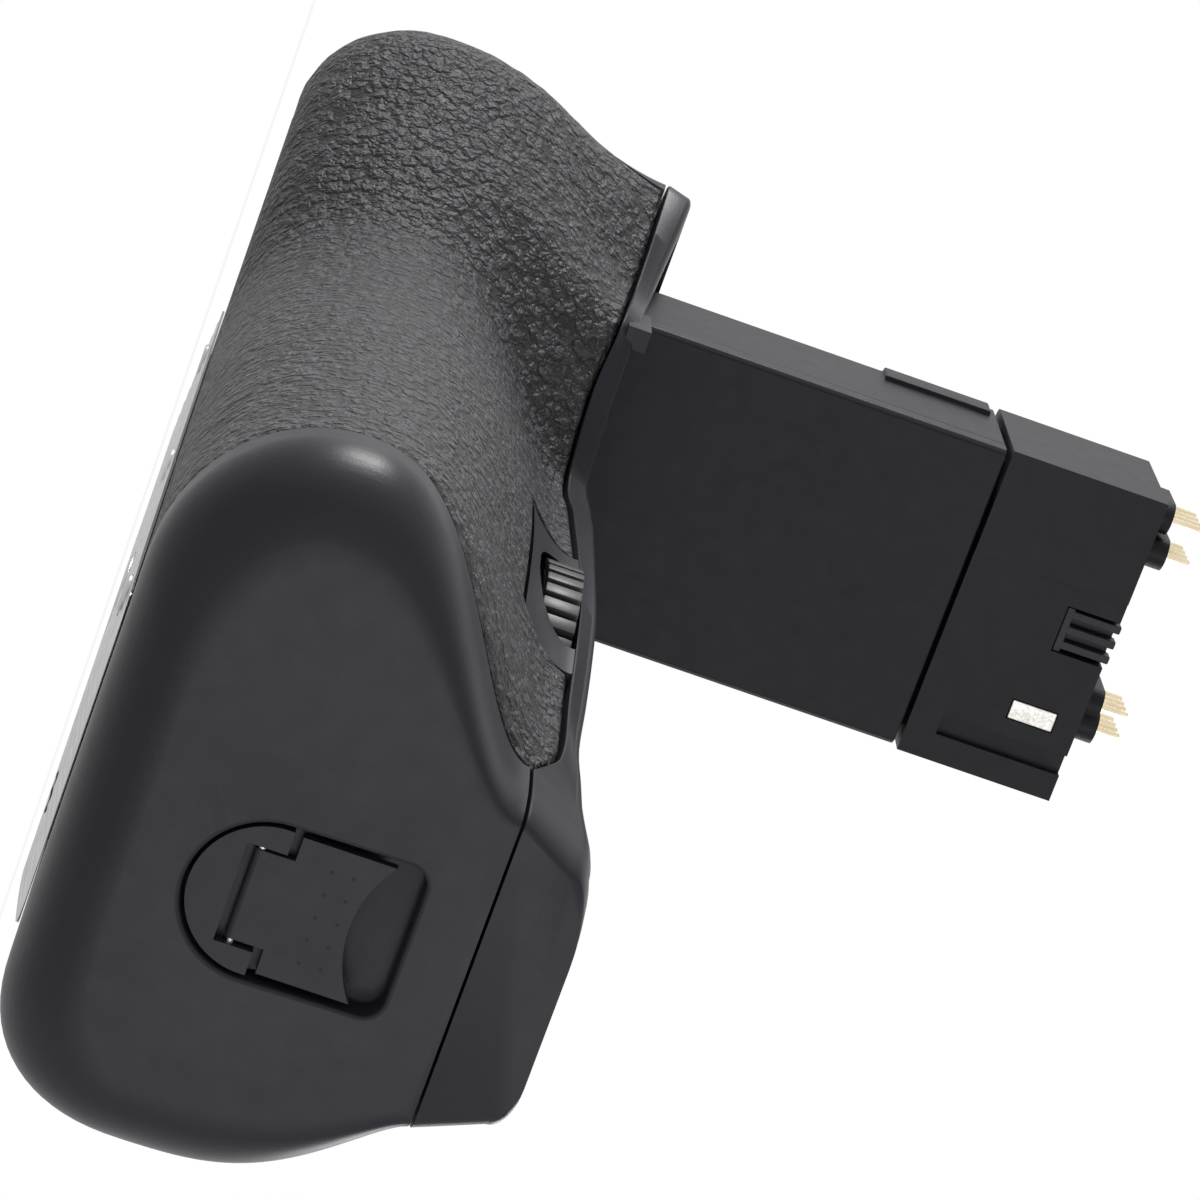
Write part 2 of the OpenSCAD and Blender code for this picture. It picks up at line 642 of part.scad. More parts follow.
rear_board_y = tray_y + chamber_w / 2 + liner_t + 0.2;
module rear_board() {
    color(board_green) translate([rear_xs[2] - board_over, rear_board_y, rear_z - rear_board_h / 2])
        cube([2 * rear_pitch + 2 * board_over, board_t, rear_board_h]);
}

socket_out = socket_r + socket_wall;
socket_len = chamber_z - liner_t - 0.2;
module tripod_socket() {
    flange_z = base_z + shell_t + 0.05;
    color(steel) difference() {
        union() {
            cylinder(r = socket_out, h = socket_len);
            translate([0, 0, flange_z]) cylinder(r = socket_out + 3, h = socket_len - flange_z);
        }
        translate([0, 0, -1]) cylinder(r = socket_r, h = socket_len + 2);
    }
}

bush_z = roof_z + 0.05;
module wheel_bush() {
    color(brass) translate([0, 0, bush_z]) difference() {
        cylinder(r = journal_r + 2.5, h = wheel_z - wheel_gap - bush_z);
        translate([0, 0, 1]) cylinder(r = journal_r + run, h = wheel_z);
    }
}
module thumbwheel() {
    hub_gap = 0.02;
    color(case_black) translate([0, 0, wheel_z]) difference() {
        cylinder(r = wheel_r, h = wheel_t, $fn = 96);
        for (i = [0:rib_count - 1]) rotate(360 * i / rib_count) translate([wheel_r - rib_depth, -0.5, -1])
            cube([2 * rib_depth, 1, wheel_t + 2]);
        translate([0, 0, -1]) cylinder(r = journal_r + hub_gap, h = wheel_t + 2);
    }
}
module camera_screw() {
    journal_z = bush_z + 1.1;
    color(steel) difference() {
        union() {
            translate([0, 0, journal_z]) cylinder(r = journal_r, h = wheel_z + wheel_t - journal_z);
            translate([0, 0, wheel_z]) cylinder(r = screw_r - 0.4, h = mate_z + 1 - wheel_z);
            translate([0, 0, mate_z + 0.2]) cylinder(r = screw_r, h = screw_up - 0.2);
        }
        translate([0, 0, mate_z + screw_up - 1]) difference() {
            cylinder(r = screw_r + 1, h = 2);
            translate([0, 0, -1]) cylinder(r1 = screw_r + 0.8, r2 = screw_r - 1.2, h = 4);
        }
    }
}
module wheel_washer() {
    color(steel) translate([0, 0, wheel_z + wheel_t + 0.02]) difference() {
        cylinder(r = journal_r + 3, h = wheel_gap - 0.2);
        translate([0, 0, -1]) cylinder(r = screw_r - 0.38, h = 3);
    }
}
module locating_pin() {
    foot_r = locate_r + 2 * seam - step;
    color(steel) translate([-locate_x, 0, mate_z - plate_t]) {
        cylinder(r = locate_r, h = plate_t + 2.5);
        cylinder(r = foot_r, h = plate_t);
        translate([0, 0, -0.4]) cylinder(r = foot_r + 0.8, h = 0.35);
        translate([0, 0, -0.2]) cylinder(r = locate_r, h = 1);
    }
}

stalk_mid = stalk_w / 2 - stalk_front;
stalk_z = root_z + 0.05;
head_z = mate_z + head_up;
head_top = head_z + head_h;
stalk_far = -stalk_x - stalk_t;
edge_r = 1.5;
// Plan of the stalk, with its two far edges rounded, set out by d
module stalk_plan(x1, d) {
    translate([stalk_far - d + edge_r, -stalk_front - d])
        square([x1 - stalk_far + d - edge_r, stalk_w + 2 * d]);
    translate([stalk_far - d, -stalk_front - d + edge_r]) square([2 * edge_r, stalk_w + 2 * d - 2 * edge_r]);
    for (y = [-stalk_front - d + edge_r, stalk_w - stalk_front + d - edge_r])
        translate([stalk_far - d + edge_r, y]) circle(r = edge_r);
}
// Way for the cable through the middle of the stalk, from z over a height h, set out by d
module cable_way(z, h, d) {
    translate([-stalk_x - stalk_t / 2 - cable_t / 2 - d, stalk_mid - cable_w / 2 - d, z])
        cube([cable_t + 2 * d, cable_w + 2 * d, h]);
}
module stalk_tub() {
    bump = 0.6;
    color(stalk_black) difference() {
        union() {
            translate([0, 0, stalk_z]) linear_extrude(head_z - head_groove - stalk_z)
                stalk_plan(-stalk_x - lid_t - 0.05, 0);
            translate([stalk_far + edge_r, -stalk_front - bump, head_z - 14]) cube([4, 1, 12.5]);
        }
        translate([stalk_far + stalk_wall, -stalk_front + stalk_wall, stalk_z + stalk_wall])
            cube([stalk_t, stalk_w - 2 * stalk_wall, mate_z * 2]);
        cable_way(root_z - 1, stalk_wall + 7, 0);
    }
}
module stalk_lid() {
    chamfer = 0.5;
    x0 = -stalk_x - lid_t;
    y0 = -stalk_front;
    y1 = stalk_w - stalk_front;
    color(stalk_black) translate([0, 0, stalk_z]) linear_extrude(head_z - head_groove - stalk_z)
        polygon([[x0, y0], [-stalk_x - chamfer, y0], [-stalk_x, y0 + chamfer],
                 [-stalk_x, y1 - chamfer], [-stalk_x - chamfer, y1], [x0, y1]]);
}
face_x = -stalk_x + head_proud;
comb_y = -13.6;
comb_w = 5.4;
comb_h = 6.1;
contact_y = -3.2;
contact_w = 2.4;
contact_h = 5.4;
contact_up = 10;
slot_y = 1.1;
slot_w = 2.4;
slot_h = 14.6;
step_y = -18.6;
block_x = -stalk_x - 7.6;
front_block_y = [-28.2, -24.2];
rear_block_y = [-5.6, -3];
module stalk_head() {
    spigot = 1.5;
    inset = stalk_wall + 0.2;
    color(stalk_black) difference() {
        union() {
            translate([0, 0, head_z]) linear_extrude(head_h) stalk_plan(face_x, head_proud);
            translate([stalk_far + inset, -stalk_front + inset, head_z - head_groove - 2])
                cube([stalk_t - lid_t - inset - seam, stalk_w - 2 * inset, 4]);
        }
        translate([face_x - 0.25, step_y, head_z - 1]) cube([3, stalk_w, head_h + 2]);
        translate([face_x - 3.4, comb_y - comb_w / 2, head_top - comb_h]) cube([6, comb_w, comb_h + 1]);
        translate([face_x - 1.6, contact_y - contact_w / 2, head_z + contact_up])
            cube([6, contact_w, contact_h]);
        translate([face_x - 1.4, slot_y - slot_w / 2, head_top - slot_h]) cube([6, slot_w, slot_h + 1]);
        for (y = concat(front_block_y, rear_block_y)) for (i = [0:pin_count - 1])
            pin_at(y, i) translate([0, 0, head_top - 4]) cylinder(r = pin_r + run, h = 6);
        cable_way(head_z - 5, 5 + spigot, 0);
    }
}
module pin_at(y, i) {
    translate([block_x + (i - (pin_count - 1) / 2) * pin_pitch, y, 0]) children();
}
ribbon_t = 0.4;
ribbon_gap = 0.15;
module stalk_ribbon() {
    color(brass) translate([stalk_far + stalk_wall + ribbon_gap, stalk_mid - ribbon_w / 2, stalk_z + 3])
        cube([ribbon_t, ribbon_w, head_z - head_groove - stalk_z - 6]);
}
module rib_comb() {
    ribs = 3;
    pitch = comb_w / ribs;
    color(case_black) translate([face_x - 3.3, comb_y - comb_w / 2 + step, head_top - comb_h + step]) {
        cube([1.4, comb_w - 2 * step, comb_h - step]);
        for (i = [0:ribs - 1]) translate([1, (i + 0.5) * pitch - 0.6, 0.8]) cube([1.9, 0.9, comb_h - 0.5]);
        cube([2.9, comb_w - 2 * step, 0.9]);
    }
}
module side_contact() {
    color(nickel) translate([face_x - 1.5, contact_y - contact_w / 2 + step, head_z + contact_up + step])
        cube([1.3, contact_w - 2 * step, contact_h - 2 * step]);
}
// Two-lobed block that guides the spring pins of the rows ys
module pin_block(ys, rise) {
    lobe = 1.8;
    row_l = pin_pitch * (pin_count - 1);
    color(stalk_black) translate([0, 0, head_top + 0.02]) difference() {
        union() for (k = [0, 1]) translate([block_x, ys[k], 0]) linear_extrude(block_h - (1 - k) * rise) {
            translate([-row_l / 2, -lobe]) square([row_l, 2 * lobe]);
            for (s = [-1, 1]) translate([s * row_l / 2, 0]) circle(r = lobe);
        }
        for (y = ys) for (i = [0:pin_count - 1]) pin_at(y, i)
            translate([0, 0, -1]) cylinder(r = pin_r + run, h = 9);
    }
}
module front_pin_block() { pin_block(front_block_y, 0.9); }
module rear_pin_block() { pin_block(rear_block_y, 0.4); }
module pin_rows(ys) {
    color(gold) for (y = ys) for (i = [0:pin_count - 1]) pin_at(y, i) {
        translate([0, 0, head_top - 2]) cylinder(r = pin_r, h = 2 + block_h + pin_up - pin_r);
        translate([0, 0, head_top + block_h + pin_up - pin_r]) sphere(r = pin_r, $fn = 24);
    }
}
module front_pins() { pin_rows(front_block_y); }
module rear_pins() { pin_rows(rear_block_y); }

cover_x0 = split_x + seam / 2;
recess_r = knob_r + knob_gap;
recess_x = near_len - recess_d - 0.4;
function cover_ring(x, d) = ring3(x, concat(front_curve(x, d, d, under_at(x) - seam / 2 - d),
    back_curve(x, d, d, back_top - d)));
module recess() {
    corner = 2;
    top = knob_z + recess_up;
    translate([recess_x, knob_y, 0]) rotate([90, 0, 90]) linear_extrude(recess_d + 4) {
        translate([0, knob_z]) circle(r = recess_r);
        translate([-recess_r, knob_z]) square([2 * recess_r, recess_up - corner]);
        translate([-recess_r + corner, knob_z]) square([2 * (recess_r - corner), recess_up]);
        for (s = [-1, 1]) translate([s * (recess_r - corner), top - corner]) circle(r = corner);
    }
}
module end_cover() {
    color(case_black) difference() {
        skin([for (x = span(cover_x0, near_len)) cover_ring(x, 0)]);
        skin([for (x = span(split_x - 1, split_x + cover_hollow)) cover_ring(x, shell_t)]);
        recess();
        along_knob(split_x, near_len - split_x) circle(r = shaft_r + run);
    }
}
// Extrudes a shape drawn round the knob axis, from x over a length
module along_knob(x, l) {
    translate([x, knob_y, knob_z]) rotate([90, 0, 90]) linear_extrude(l) children();
}
hinge_x = recess_x + 2.8;
hinge_z = knob_z - hinge_drop;
base_x = recess_x + 0.3;
base_floor = 1.7;
arm_x = hinge_x + 1;
flap_low = 1.3;
module knob_base() {
    color(case_black) difference() {
        union() {
            along_knob(base_x, base_floor) circle(r = knob_r);
            along_knob(base_x, arm_x - base_x) intersection() {
                circle(r = knob_r);
                translate([-2 * knob_r, -2 * knob_r]) square([4 * knob_r, 2 * knob_r + flap_low - hinge_gap]);
            }
        }
        translate([base_x + base_floor, knob_y - tongue_half - hinge_gap / 2, hinge_z - flap_t / 2 - hinge_gap])
            cube([9, 2 * tongue_half + hinge_gap, 20]);
        along_knob(base_x - 1, base_floor + 2) circle(r = shaft_r + 0.02);
        hinge_bore(hinge_r + 0.02, 2 * knob_r);
    }
}
module hinge_bore(r, l) {
    translate([hinge_x, knob_y - l / 2, hinge_z]) rotate([-90, 0, 0]) cylinder(r = r, h = l);
}
module hinge_pin() {
    color(steel) hinge_bore(hinge_r, 2 * (knob_r - 0.6));
}
module fold_handle() {
    up = knob_z - hinge_z;
    scallop_z = knob_z + flap_up + sqrt(scallop_r ^ 2 - flap_half ^ 2);
    color(case_black) difference() {
        union() {
            translate([hinge_x - flap_t / 2, knob_y - tongue_half, hinge_z])
                cube([flap_t, 2 * tongue_half, up + 4]);
            hinge_bore(flap_t / 2, 2 * tongue_half);
            translate([hinge_x - flap_t / 2, knob_y - flap_half, knob_z + flap_low])
                cube([flap_t, 2 * flap_half, flap_up - flap_low]);
        }
        hinge_bore(hinge_r + run, 3 * knob_r);
        translate([hinge_x - 5, knob_y, scallop_z]) rotate([0, 90, 0]) cylinder(r = scallop_r + 0.1, h = 10);
    }
}
module latch_shaft() {
    color(steel) along_knob(split_x + 1.6, base_x + base_floor - split_x - 1.6) circle(r = shaft_r);
}
cam_x = split_x + 2;
cam_t = 2;
module latch_cam() {
    color(stalk_black) along_knob(cam_x, cam_t) difference() {
        union() {
            circle(r = shaft_r + 1.8);
            translate([-1.8, 0]) square([3.6, cam_reach]);
        }
        circle(r = shaft_r + 0.02);
    }
}
module shaft_clip() {
    color(steel) along_knob(cam_x + cam_t + 0.1, 0.6) difference() {
        circle(r = shaft_r + 1.4);
        circle(r = shaft_r + 0.02);
        translate([-1, 0]) square([2, 9]);
    }
}

module battery_tray() {
    arm = 5;
    arm_l = split_x + cover_hollow - tray_near + 0.8;
    color(case_black) difference() {
        union() {
            translate([tray_far, tray_y0, tray_z]) cube([tray_len, tray_w, tray_h]);
            for (y = [tray_y0 + 1, tray_y0 + tray_w - 1 - arm])
                translate([tray_near - 1, y, tray_z + 2]) cube([arm_l, arm, 10]);
        }
        for (x = bay_xs) translate([x, tray_y0 + tray_wall, tray_z + tray_floor])
            cube([bay_l, tray_w - 2 * tray_wall, tray_h]);
        for (x = bay_xs, y = [0, tray_w]) translate([x + 12, tray_y0 - 1 + y, tray_z + 5])
            cube([bay_l - 24, 2, tray_h - 11]);
    }
}
module tray_contacts() {
    color(brass) for (y = blade_spots)
        translate([tray_far - 0.45, tray_y + y - blade_w / 2, blade_z]) cube([0.4, blade_w, blade_h]);
}

ring_r = shutter_r + 1.9;
stem_end = control_board_x - board_t - 1.6;
module shutter_ring() {
    color(case_black) translate([far_face - 0.4, -shutter_y, control_z]) rotate([0, 90, 0]) difference() {
        cylinder(r = ring_r, h = shell_t + 0.4);
        translate([0, 0, -1]) cylinder(r = shutter_r + button_gap, h = shell_t + 4);
    }
}
// Button on the far end: a face disc and a stem behind it
module far_button(y, z, r, out) {
    translate([far_face - out, y, z]) rotate([0, 90, 0]) {
        cylinder(r = r, h = out + shell_t);
        cylinder(r = r / 3, h = stem_end - far_face + out);
    }
}
module shutter_button() {
    color(case_black) difference() {
        far_button(-shutter_y, control_z, shutter_r, proud);
        translate([far_face - proud - 14.6, -shutter_y, control_z]) sphere(r = 15);
    }
}
module function_button() { color(case_black) far_button(function_y, button_z, button_r, proud / 2); }

dial_x = far_face - proud + dial_r;
dial_slot = dial_r + 0.8;
axle_r = 1;
module control_dial() {
    color(case_black) translate([dial_x, -dial_y, control_z]) rotate([90, 0, 0]) difference() {
        cylinder(r = dial_r, h = dial_w, center = true);
        for (i = [0:dial_ridges - 1]) rotate(360 * i / dial_ridges) translate([dial_r - 0.4, -0.25, -dial_w])
            cube([1, 0.5, 2 * dial_w]);
        cylinder(r = axle_r + run, h = 2 * dial_w, center = true);
    }
}
ear_t = 0.9;
ear_y = dial_w / 2 + seam;
module dial_axle() {
    color(steel) translate([dial_x, -dial_y, control_z]) rotate([90, 0, 0])
        cylinder(r = axle_r, h = dial_w + 2 * seam + 2 * ear_t, center = true);
}
module dial_bracket() {
    x0 = far_face + shell_t + 0.4;
    color(steel) difference() {
        for (y = [-ear_y - ear_t, ear_y]) translate([x0, -dial_y + y, control_z - 2.5])
            cube([control_board_x - board_t - step - x0, ear_t, 5]);
        translate([dial_x, -dial_y, control_z]) rotate([90, 0, 0])
            cylinder(r = axle_r + 0.02, h = 3 * dial_w, center = true);
    }
}

lever_r = 4.6;
lever_shaft_r = 1.5;
lever_sink = 1.1;
module power_lever() {
    thumb_l = 4.5;
    color(case_black) translate([far_face - proud, lever_y, lever_z]) rotate([0, 90, 0]) {
        cylinder(r = lever_r, h = proud + lever_sink - seam);
        cylinder(r = lever_shaft_r, h = stem_end - far_face + proud);
        translate([-1.3, lever_r - 1.5, 0]) cube([2.6, thumb_l, proud - seam]);
    }
}

// Button on the back wall at x: a face disc and a stem behind it
module rear_button(x) {
    color(case_black) translate([x, back_reach, rear_z]) rotate([90, 0, 0]) {
        cylinder(r = button_r, h = shell_t + 0.4);
        cylinder(r = button_r / 2.5, h = back_reach - rear_board_y - board_t - 1);
    }
}
module rear_button_a() { rear_button(rear_xs[0]); }
module rear_button_b() { rear_button(rear_xs[1]); }
module rear_button_c() { rear_button(rear_xs[2]); }

lower_housing();
grip_rubber();
rear_rubber();
base_pad();
base_screws();
top_case();
battery_chamber();
mouth_frame();
wheel_frame();
terminal_block();
terminal_blades();
main_board();
control_board();
rear_board();
tripod_socket();
wheel_bush();
locating_pin();
stalk_tub();
stalk_lid();
stalk_head();
stalk_ribbon();
rib_comb();
side_contact();
front_pin_block();
rear_pin_block();
front_pins();
rear_pins();
end_cover();
battery_tray();
tray_contacts();
knob_base();
latch_shaft();
latch_cam();
shaft_clip();
hinge_pin();
fold_handle();
thumbwheel();
camera_screw();
wheel_washer();
shutter_ring();
shutter_button();
control_dial();
dial_axle();
dial_bracket();
function_button();
power_lever();
rear_button_a();
rear_button_b();
rear_button_c();
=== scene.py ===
# %% [markdown]
# # A camera battery grip
# This grip screws under a camera. Its tall stalk fills the camera's battery bay, a leather-grained rubber
# wraps the hand grip, and a magazine with two packs slides out behind the smooth end cover.
# The CAD model is loaded first as a fixed frame. Each step below gives one of its pieces a finer surface.

# %% Load the CAD frame
import json
import math
import bmesh
import bpy
import numpy as np
from mathutils import Matrix, Vector


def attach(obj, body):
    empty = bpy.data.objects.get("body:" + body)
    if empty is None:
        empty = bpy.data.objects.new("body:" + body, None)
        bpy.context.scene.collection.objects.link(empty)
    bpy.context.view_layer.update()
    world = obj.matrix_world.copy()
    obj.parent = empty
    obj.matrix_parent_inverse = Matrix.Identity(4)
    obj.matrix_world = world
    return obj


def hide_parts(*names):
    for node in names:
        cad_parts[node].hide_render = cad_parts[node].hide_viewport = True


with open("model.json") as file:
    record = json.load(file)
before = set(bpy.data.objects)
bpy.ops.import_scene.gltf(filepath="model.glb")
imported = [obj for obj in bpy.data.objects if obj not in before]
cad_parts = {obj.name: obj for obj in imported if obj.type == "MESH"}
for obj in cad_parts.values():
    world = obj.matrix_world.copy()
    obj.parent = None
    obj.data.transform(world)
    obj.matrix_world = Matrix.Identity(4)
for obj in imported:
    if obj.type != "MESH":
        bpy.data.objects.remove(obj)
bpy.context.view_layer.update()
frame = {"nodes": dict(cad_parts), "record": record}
MM = 0.001
BODY = {n: b for b, names in frame["record"]["behaviour"]["bodies"].items() for n in names}
SLOT = {s["node"]: s["material_slot"] for s in frame["record"]["subparts"]}

# %% [markdown]
# ## The camera
# The photograph looks along the body from the magazine end, a little from the front, with the camera rolled.
# A camera could be dragged into place by eye. Here its axes come from three measured angles instead, yaw, pitch
# and roll, and it stands at a measured point. That point is almost level with the floor, so its near limit
# leaves out the strip of floor just in front of it, which would fill the side of the picture.

# %% Camera
YAW, PITCH, ROLL = (math.radians(a) for a in (15.05, 5.45, 18.95))
CAMERA_AT = Vector((446.3, -136.9, -0.46)) * MM
LENS_MM, SENSOR_MM, NEAR_LIMIT, FAR_LIMIT = 145.5, 36, 0.2, 50


def add_object(name, data):
    thing = bpy.data.objects.new(name, data)
    bpy.context.collection.objects.link(thing)
    return thing


level = Vector((-math.cos(YAW), math.sin(YAW), 0))
right = Vector((math.sin(YAW), math.cos(YAW), 0))
up = Vector((0, 0, 1))
ahead = level * math.cos(PITCH) + up * math.sin(PITCH)
lifted = up * math.cos(PITCH) - level * math.sin(PITCH)
cam_x = -math.sin(ROLL) * right + math.cos(ROLL) * lifted
cam_y = -(math.cos(ROLL) * right + math.sin(ROLL) * lifted)
camera = add_object("camera", bpy.data.cameras.new("camera"))
camera.data.lens, camera.data.sensor_width = LENS_MM, SENSOR_MM
camera.data.clip_start, camera.data.clip_end = NEAR_LIMIT, FAR_LIMIT
axes = Matrix((cam_x, cam_y, -ahead)).transposed()
camera.matrix_world = Matrix.Translation(CAMERA_AT) @ axes.to_4x4()
bpy.context.scene.camera = camera
print("camera looks along", [round(v, 3) for v in ahead])

# %% [markdown]
# ## Finishes
# The grip is nearly all black plastic, so its look lies in how each black takes the light. Every finish is a
# small node tree on Object coordinates: noise for the moulding grain, a slower noise for handling marks in the
# roughness, and a bump of the right size in millimetres.

# %% Helpers for node trees
FINISH = {}


def new_finish(name, colour, rough, metallic=0.0, shine=0.5):
    """A material with its shader ready; returns what the steps below need."""
    mat = bpy.data.materials.new(name)
    mat.use_nodes = True
    shader = mat.node_tree.nodes["Principled BSDF"]
    shader.inputs["Base Color"].default_value = (*colour, 1)
    shader.inputs["Roughness"].default_value = rough
    shader.inputs["Metallic"].default_value = metallic
    shader.inputs["Specular IOR Level"].default_value = shine
    mat.diffuse_color = (*colour, 1)
    FINISH[name] = mat
    return mat, shader


def node(mat, kind, inputs=None, **settings):
    """A node with its settings made and its inputs linked or set."""
    n = mat.node_tree.nodes.new(kind)
    for key, value in settings.items():
        setattr(n, key, value)
    for key, value in (inputs or {}).items():
        if isinstance(value, bpy.types.NodeSocket):
            mat.node_tree.links.new(value, n.inputs[key])
        else:
            n.inputs[key].default_value = value
    return n


def link(mat, a, b):
    mat.node_tree.links.new(a, b)


def place(mat):
    """Object coordinates, in metres."""
    return node(mat, "ShaderNodeTexCoord").outputs["Object"]


def noise(mat, size_mm, detail):
    inputs = {"Vector": place(mat), "Scale": 1 / (size_mm * MM), "Detail": detail}
    return node(mat, "ShaderNodeTexNoise", inputs).outputs["Fac"]


def maths(mat, operation, *values):
    return node(mat, "ShaderNodeMath", dict(enumerate(values)), operation=operation).outputs[0]


def vector_maths(mat, operation, inputs):
    return node(mat, "ShaderNodeVectorMath", inputs, operation=operation).outputs[0]


def between(mat, value, low, high, out_low, out_high):
    """Stretches the values from low to high so that they run from out_low to out_high."""
    inputs = {"Value": value, "From Min": low, "From Max": high, "To Min": out_low, "To Max": out_high}
    return node(mat, "ShaderNodeMapRange", inputs).outputs["Result"]


def mixed(mat, factor, a, b):
    return node(mat, "ShaderNodeMix", {0: factor, 6: (*a, 1), 7: (*b, 1)}, data_type="RGBA").outputs[2]


def bumped(mat, shader, height, depth_mm):
    bump = node(mat, "ShaderNodeBump", {"Height": height, "Distance": depth_mm * MM, "Strength": 1.0})
    link(mat, bump.outputs["Normal"], shader.inputs["Normal"])


# %% [markdown]
# Moulded plastic has a fine spark-eroded grain of about a quarter of a millimetre, and faint marks from handling.
# One function makes all the plain plastics: only the colour, the gloss and the depth of the grain change.

# %% Moulded plastics
MARKS_MM, SCUFF_MM = 14, 2.2


def moulded(name, dark, light, rough, grain_mm, depth_mm, shine):
    mat, shader = new_finish(name, dark, rough, shine=shine)
    marks = between(mat, noise(mat, MARKS_MM, 4), 0.35, 0.75, 0, 1)
    link(mat, mixed(mat, marks, dark, light), shader.inputs["Base Color"])
    scuff = between(mat, noise(mat, SCUFF_MM, 5), 0.3, 0.75, rough - 0.02, rough + 0.03)
    link(mat, scuff, shader.inputs["Roughness"])
    bumped(mat, shader, noise(mat, grain_mm, 3), depth_mm)


# Dark and light tone, roughness, grain and its depth in mm, shine.
moulded("case_plastic", (0.027, 0.0267, 0.0335), (0.033, 0.0326, 0.0405), 0.4, 0.28, 0.012, 0.16)
moulded("stalk_plastic", (0.0135, 0.0135, 0.0172), (0.017, 0.017, 0.0215), 0.46, 0.22, 0.008, 0.14)
moulded("inner_plastic", (0.014, 0.014, 0.015), (0.019, 0.019, 0.02), 0.55, 0.3, 0.02, 0.35)
moulded("wheel_plastic", (0.052, 0.052, 0.054), (0.06, 0.06, 0.062), 0.45, 0.28, 0.012, 0.3)
moulded("base_pad", (0.05, 0.05, 0.052), (0.06, 0.06, 0.062), 0.16, 0.5, 0.002, 0.5)
moulded("board", (0.012, 0.07, 0.035), (0.018, 0.09, 0.05), 0.35, 0.6, 0.01, 0.5)
print("plastics:", sorted(FINISH))

# %% [markdown]
# The grip skin is a rubber pressed with a leather pattern: low rounded pebbles a little over a millimetre across,
# parted by short wandering creases. A Voronoi texture's distance from the middle of each cell gives the pebbles.
# A noise bends its coordinates first, so that no cell looks drawn with a ruler, and two other noises wrinkle them.
# The creases are also painted darker than the pebbles, as painted shade.

# %% Leather-grained rubber
PEBBLES_PER_M, BENDS_PER_M, BEND_BY = 780.0, 900.0, 0.0022
FINE_MM, WRINKLE_MM, GRAIN_DEPTH_MM = 0.5, 1.1, 0.5
# The first colour is painted shade for the creases; the second is the pebbles' own colour.
PAINTED_CREASE_SHADE, PEBBLE_TONE = (0.034, 0.034, 0.0365), (0.08, 0.0795, 0.086)


def leather(name):
    mat, shader = new_finish(name, (0.07, 0.07, 0.075), 0.5, shine=0.22)
    bend = node(mat, "ShaderNodeTexNoise", {"Vector": place(mat), "Scale": BENDS_PER_M, "Detail": 2.0})
    centred = vector_maths(mat, "SUBTRACT", {0: bend.outputs["Color"], 1: (0.5, 0.5, 0.5)})
    small = vector_maths(mat, "SCALE", {0: centred, 3: BEND_BY})
    where = vector_maths(mat, "ADD", {0: place(mat), 1: small})
    cells = node(mat, "ShaderNodeTexVoronoi", {"Vector": where, "Scale": PEBBLES_PER_M}, feature="F1")
    pebble = between(mat, cells.outputs["Distance"], 0.1, 0.75, 1, 0)
    fine = noise(mat, FINE_MM, 4)
    height = maths(mat, "MULTIPLY_ADD", fine, 0.3, pebble)
    wrinkled = maths(mat, "MULTIPLY_ADD", noise(mat, WRINKLE_MM, 2), 0.5, height)
    # Painted shade: the colour darkens from the pebble tops down into the creases.
    tone = between(mat, pebble, 0.15, 0.6, 0, 1)
    link(mat, mixed(mat, tone, PAINTED_CREASE_SHADE, PEBBLE_TONE), shader.inputs["Base Color"])
    link(mat, between(mat, fine, 0.3, 0.7, 0.42, 0.6), shader.inputs["Roughness"])
    bumped(mat, shader, wrinkled, GRAIN_DEPTH_MM)


leather("grip_skin")
print("pebbles of the grain:", round(1 / PEBBLES_PER_M / MM, 2), "mm")

# %% [markdown]
# The metals show on the contacts, the screws and the sockets. Each is a metallic shader with fine turning marks
# in its roughness and a slow change of tint, as plating has.

# %% Metals
TINT_MM, MARK_DEPTH_MM = 3, 0.004


def metal(name, colour, worn, rough, mark_mm):
    mat, shader = new_finish(name, colour, rough, metallic=1.0)
    tint = between(mat, noise(mat, TINT_MM, 3), 0.35, 0.7, 0, 1)
    link(mat, mixed(mat, tint, colour, worn), shader.inputs["Base Color"])
    marks = noise(mat, mark_mm, 4)
    link(mat, between(mat, marks, 0.3, 0.7, rough - 0.06, rough + 0.1), shader.inputs["Roughness"])
    bumped(mat, shader, marks, MARK_DEPTH_MM)


# Colour, worn colour, roughness and the size of its marks in mm.
metal("gold_contact", (0.76, 0.67, 0.49), (0.68, 0.57, 0.39), 0.28, 0.2)
metal("nickel_contact", (0.42, 0.41, 0.39), (0.34, 0.33, 0.31), 0.36, 0.25)
metal("steel", (0.55, 0.55, 0.57), (0.44, 0.44, 0.46), 0.34, 0.3)
metal("brass", (0.7, 0.55, 0.27), (0.56, 0.42, 0.2), 0.34, 0.3)
for name, cad in frame["nodes"].items():
    cad.data.materials.clear()
    cad.data.materials.append(FINISH[SLOT[name]])
print("finishes:", sorted(FINISH))


# %% [markdown]
# ## From points to pieces
# A piece is made from arrays of points in millimetres. One helper turns points and faces into an object with
# outward normals, smooth where the surface is round and crisp at its edges. Another hides the CAD node that
# the piece stands for, and gives the piece that node's body and finish.

# %% Points to mesh
SHARP = 32


def shade(mesh, sharp):
    """Smooth faces, with a crisp edge wherever two meet at more than the sharp angle."""
    mesh.polygons.foreach_set("use_smooth", [True] * len(mesh.polygons))
    mesh.set_sharp_from_angle(angle=math.radians(sharp))
    mesh.update()


def piece_from(name, points, faces, sharp=SHARP):
    mesh = bpy.data.meshes.new(name)
    mesh.from_pydata((np.asarray(points, float).reshape(-1, 3) * MM).tolist(), [], faces)
    bm = bmesh.new()
    bm.from_mesh(mesh)
    bmesh.ops.delete(bm, geom=[v for v in bm.verts if not v.link_faces], context="VERTS")
    bmesh.ops.remove_doubles(bm, verts=bm.verts, dist=1e-7)
    bmesh.ops.recalc_face_normals(bm, faces=bm.faces)
    bm.to_mesh(mesh)
    bm.free()
    shade(mesh, sharp)
    return add_object(name, mesh)


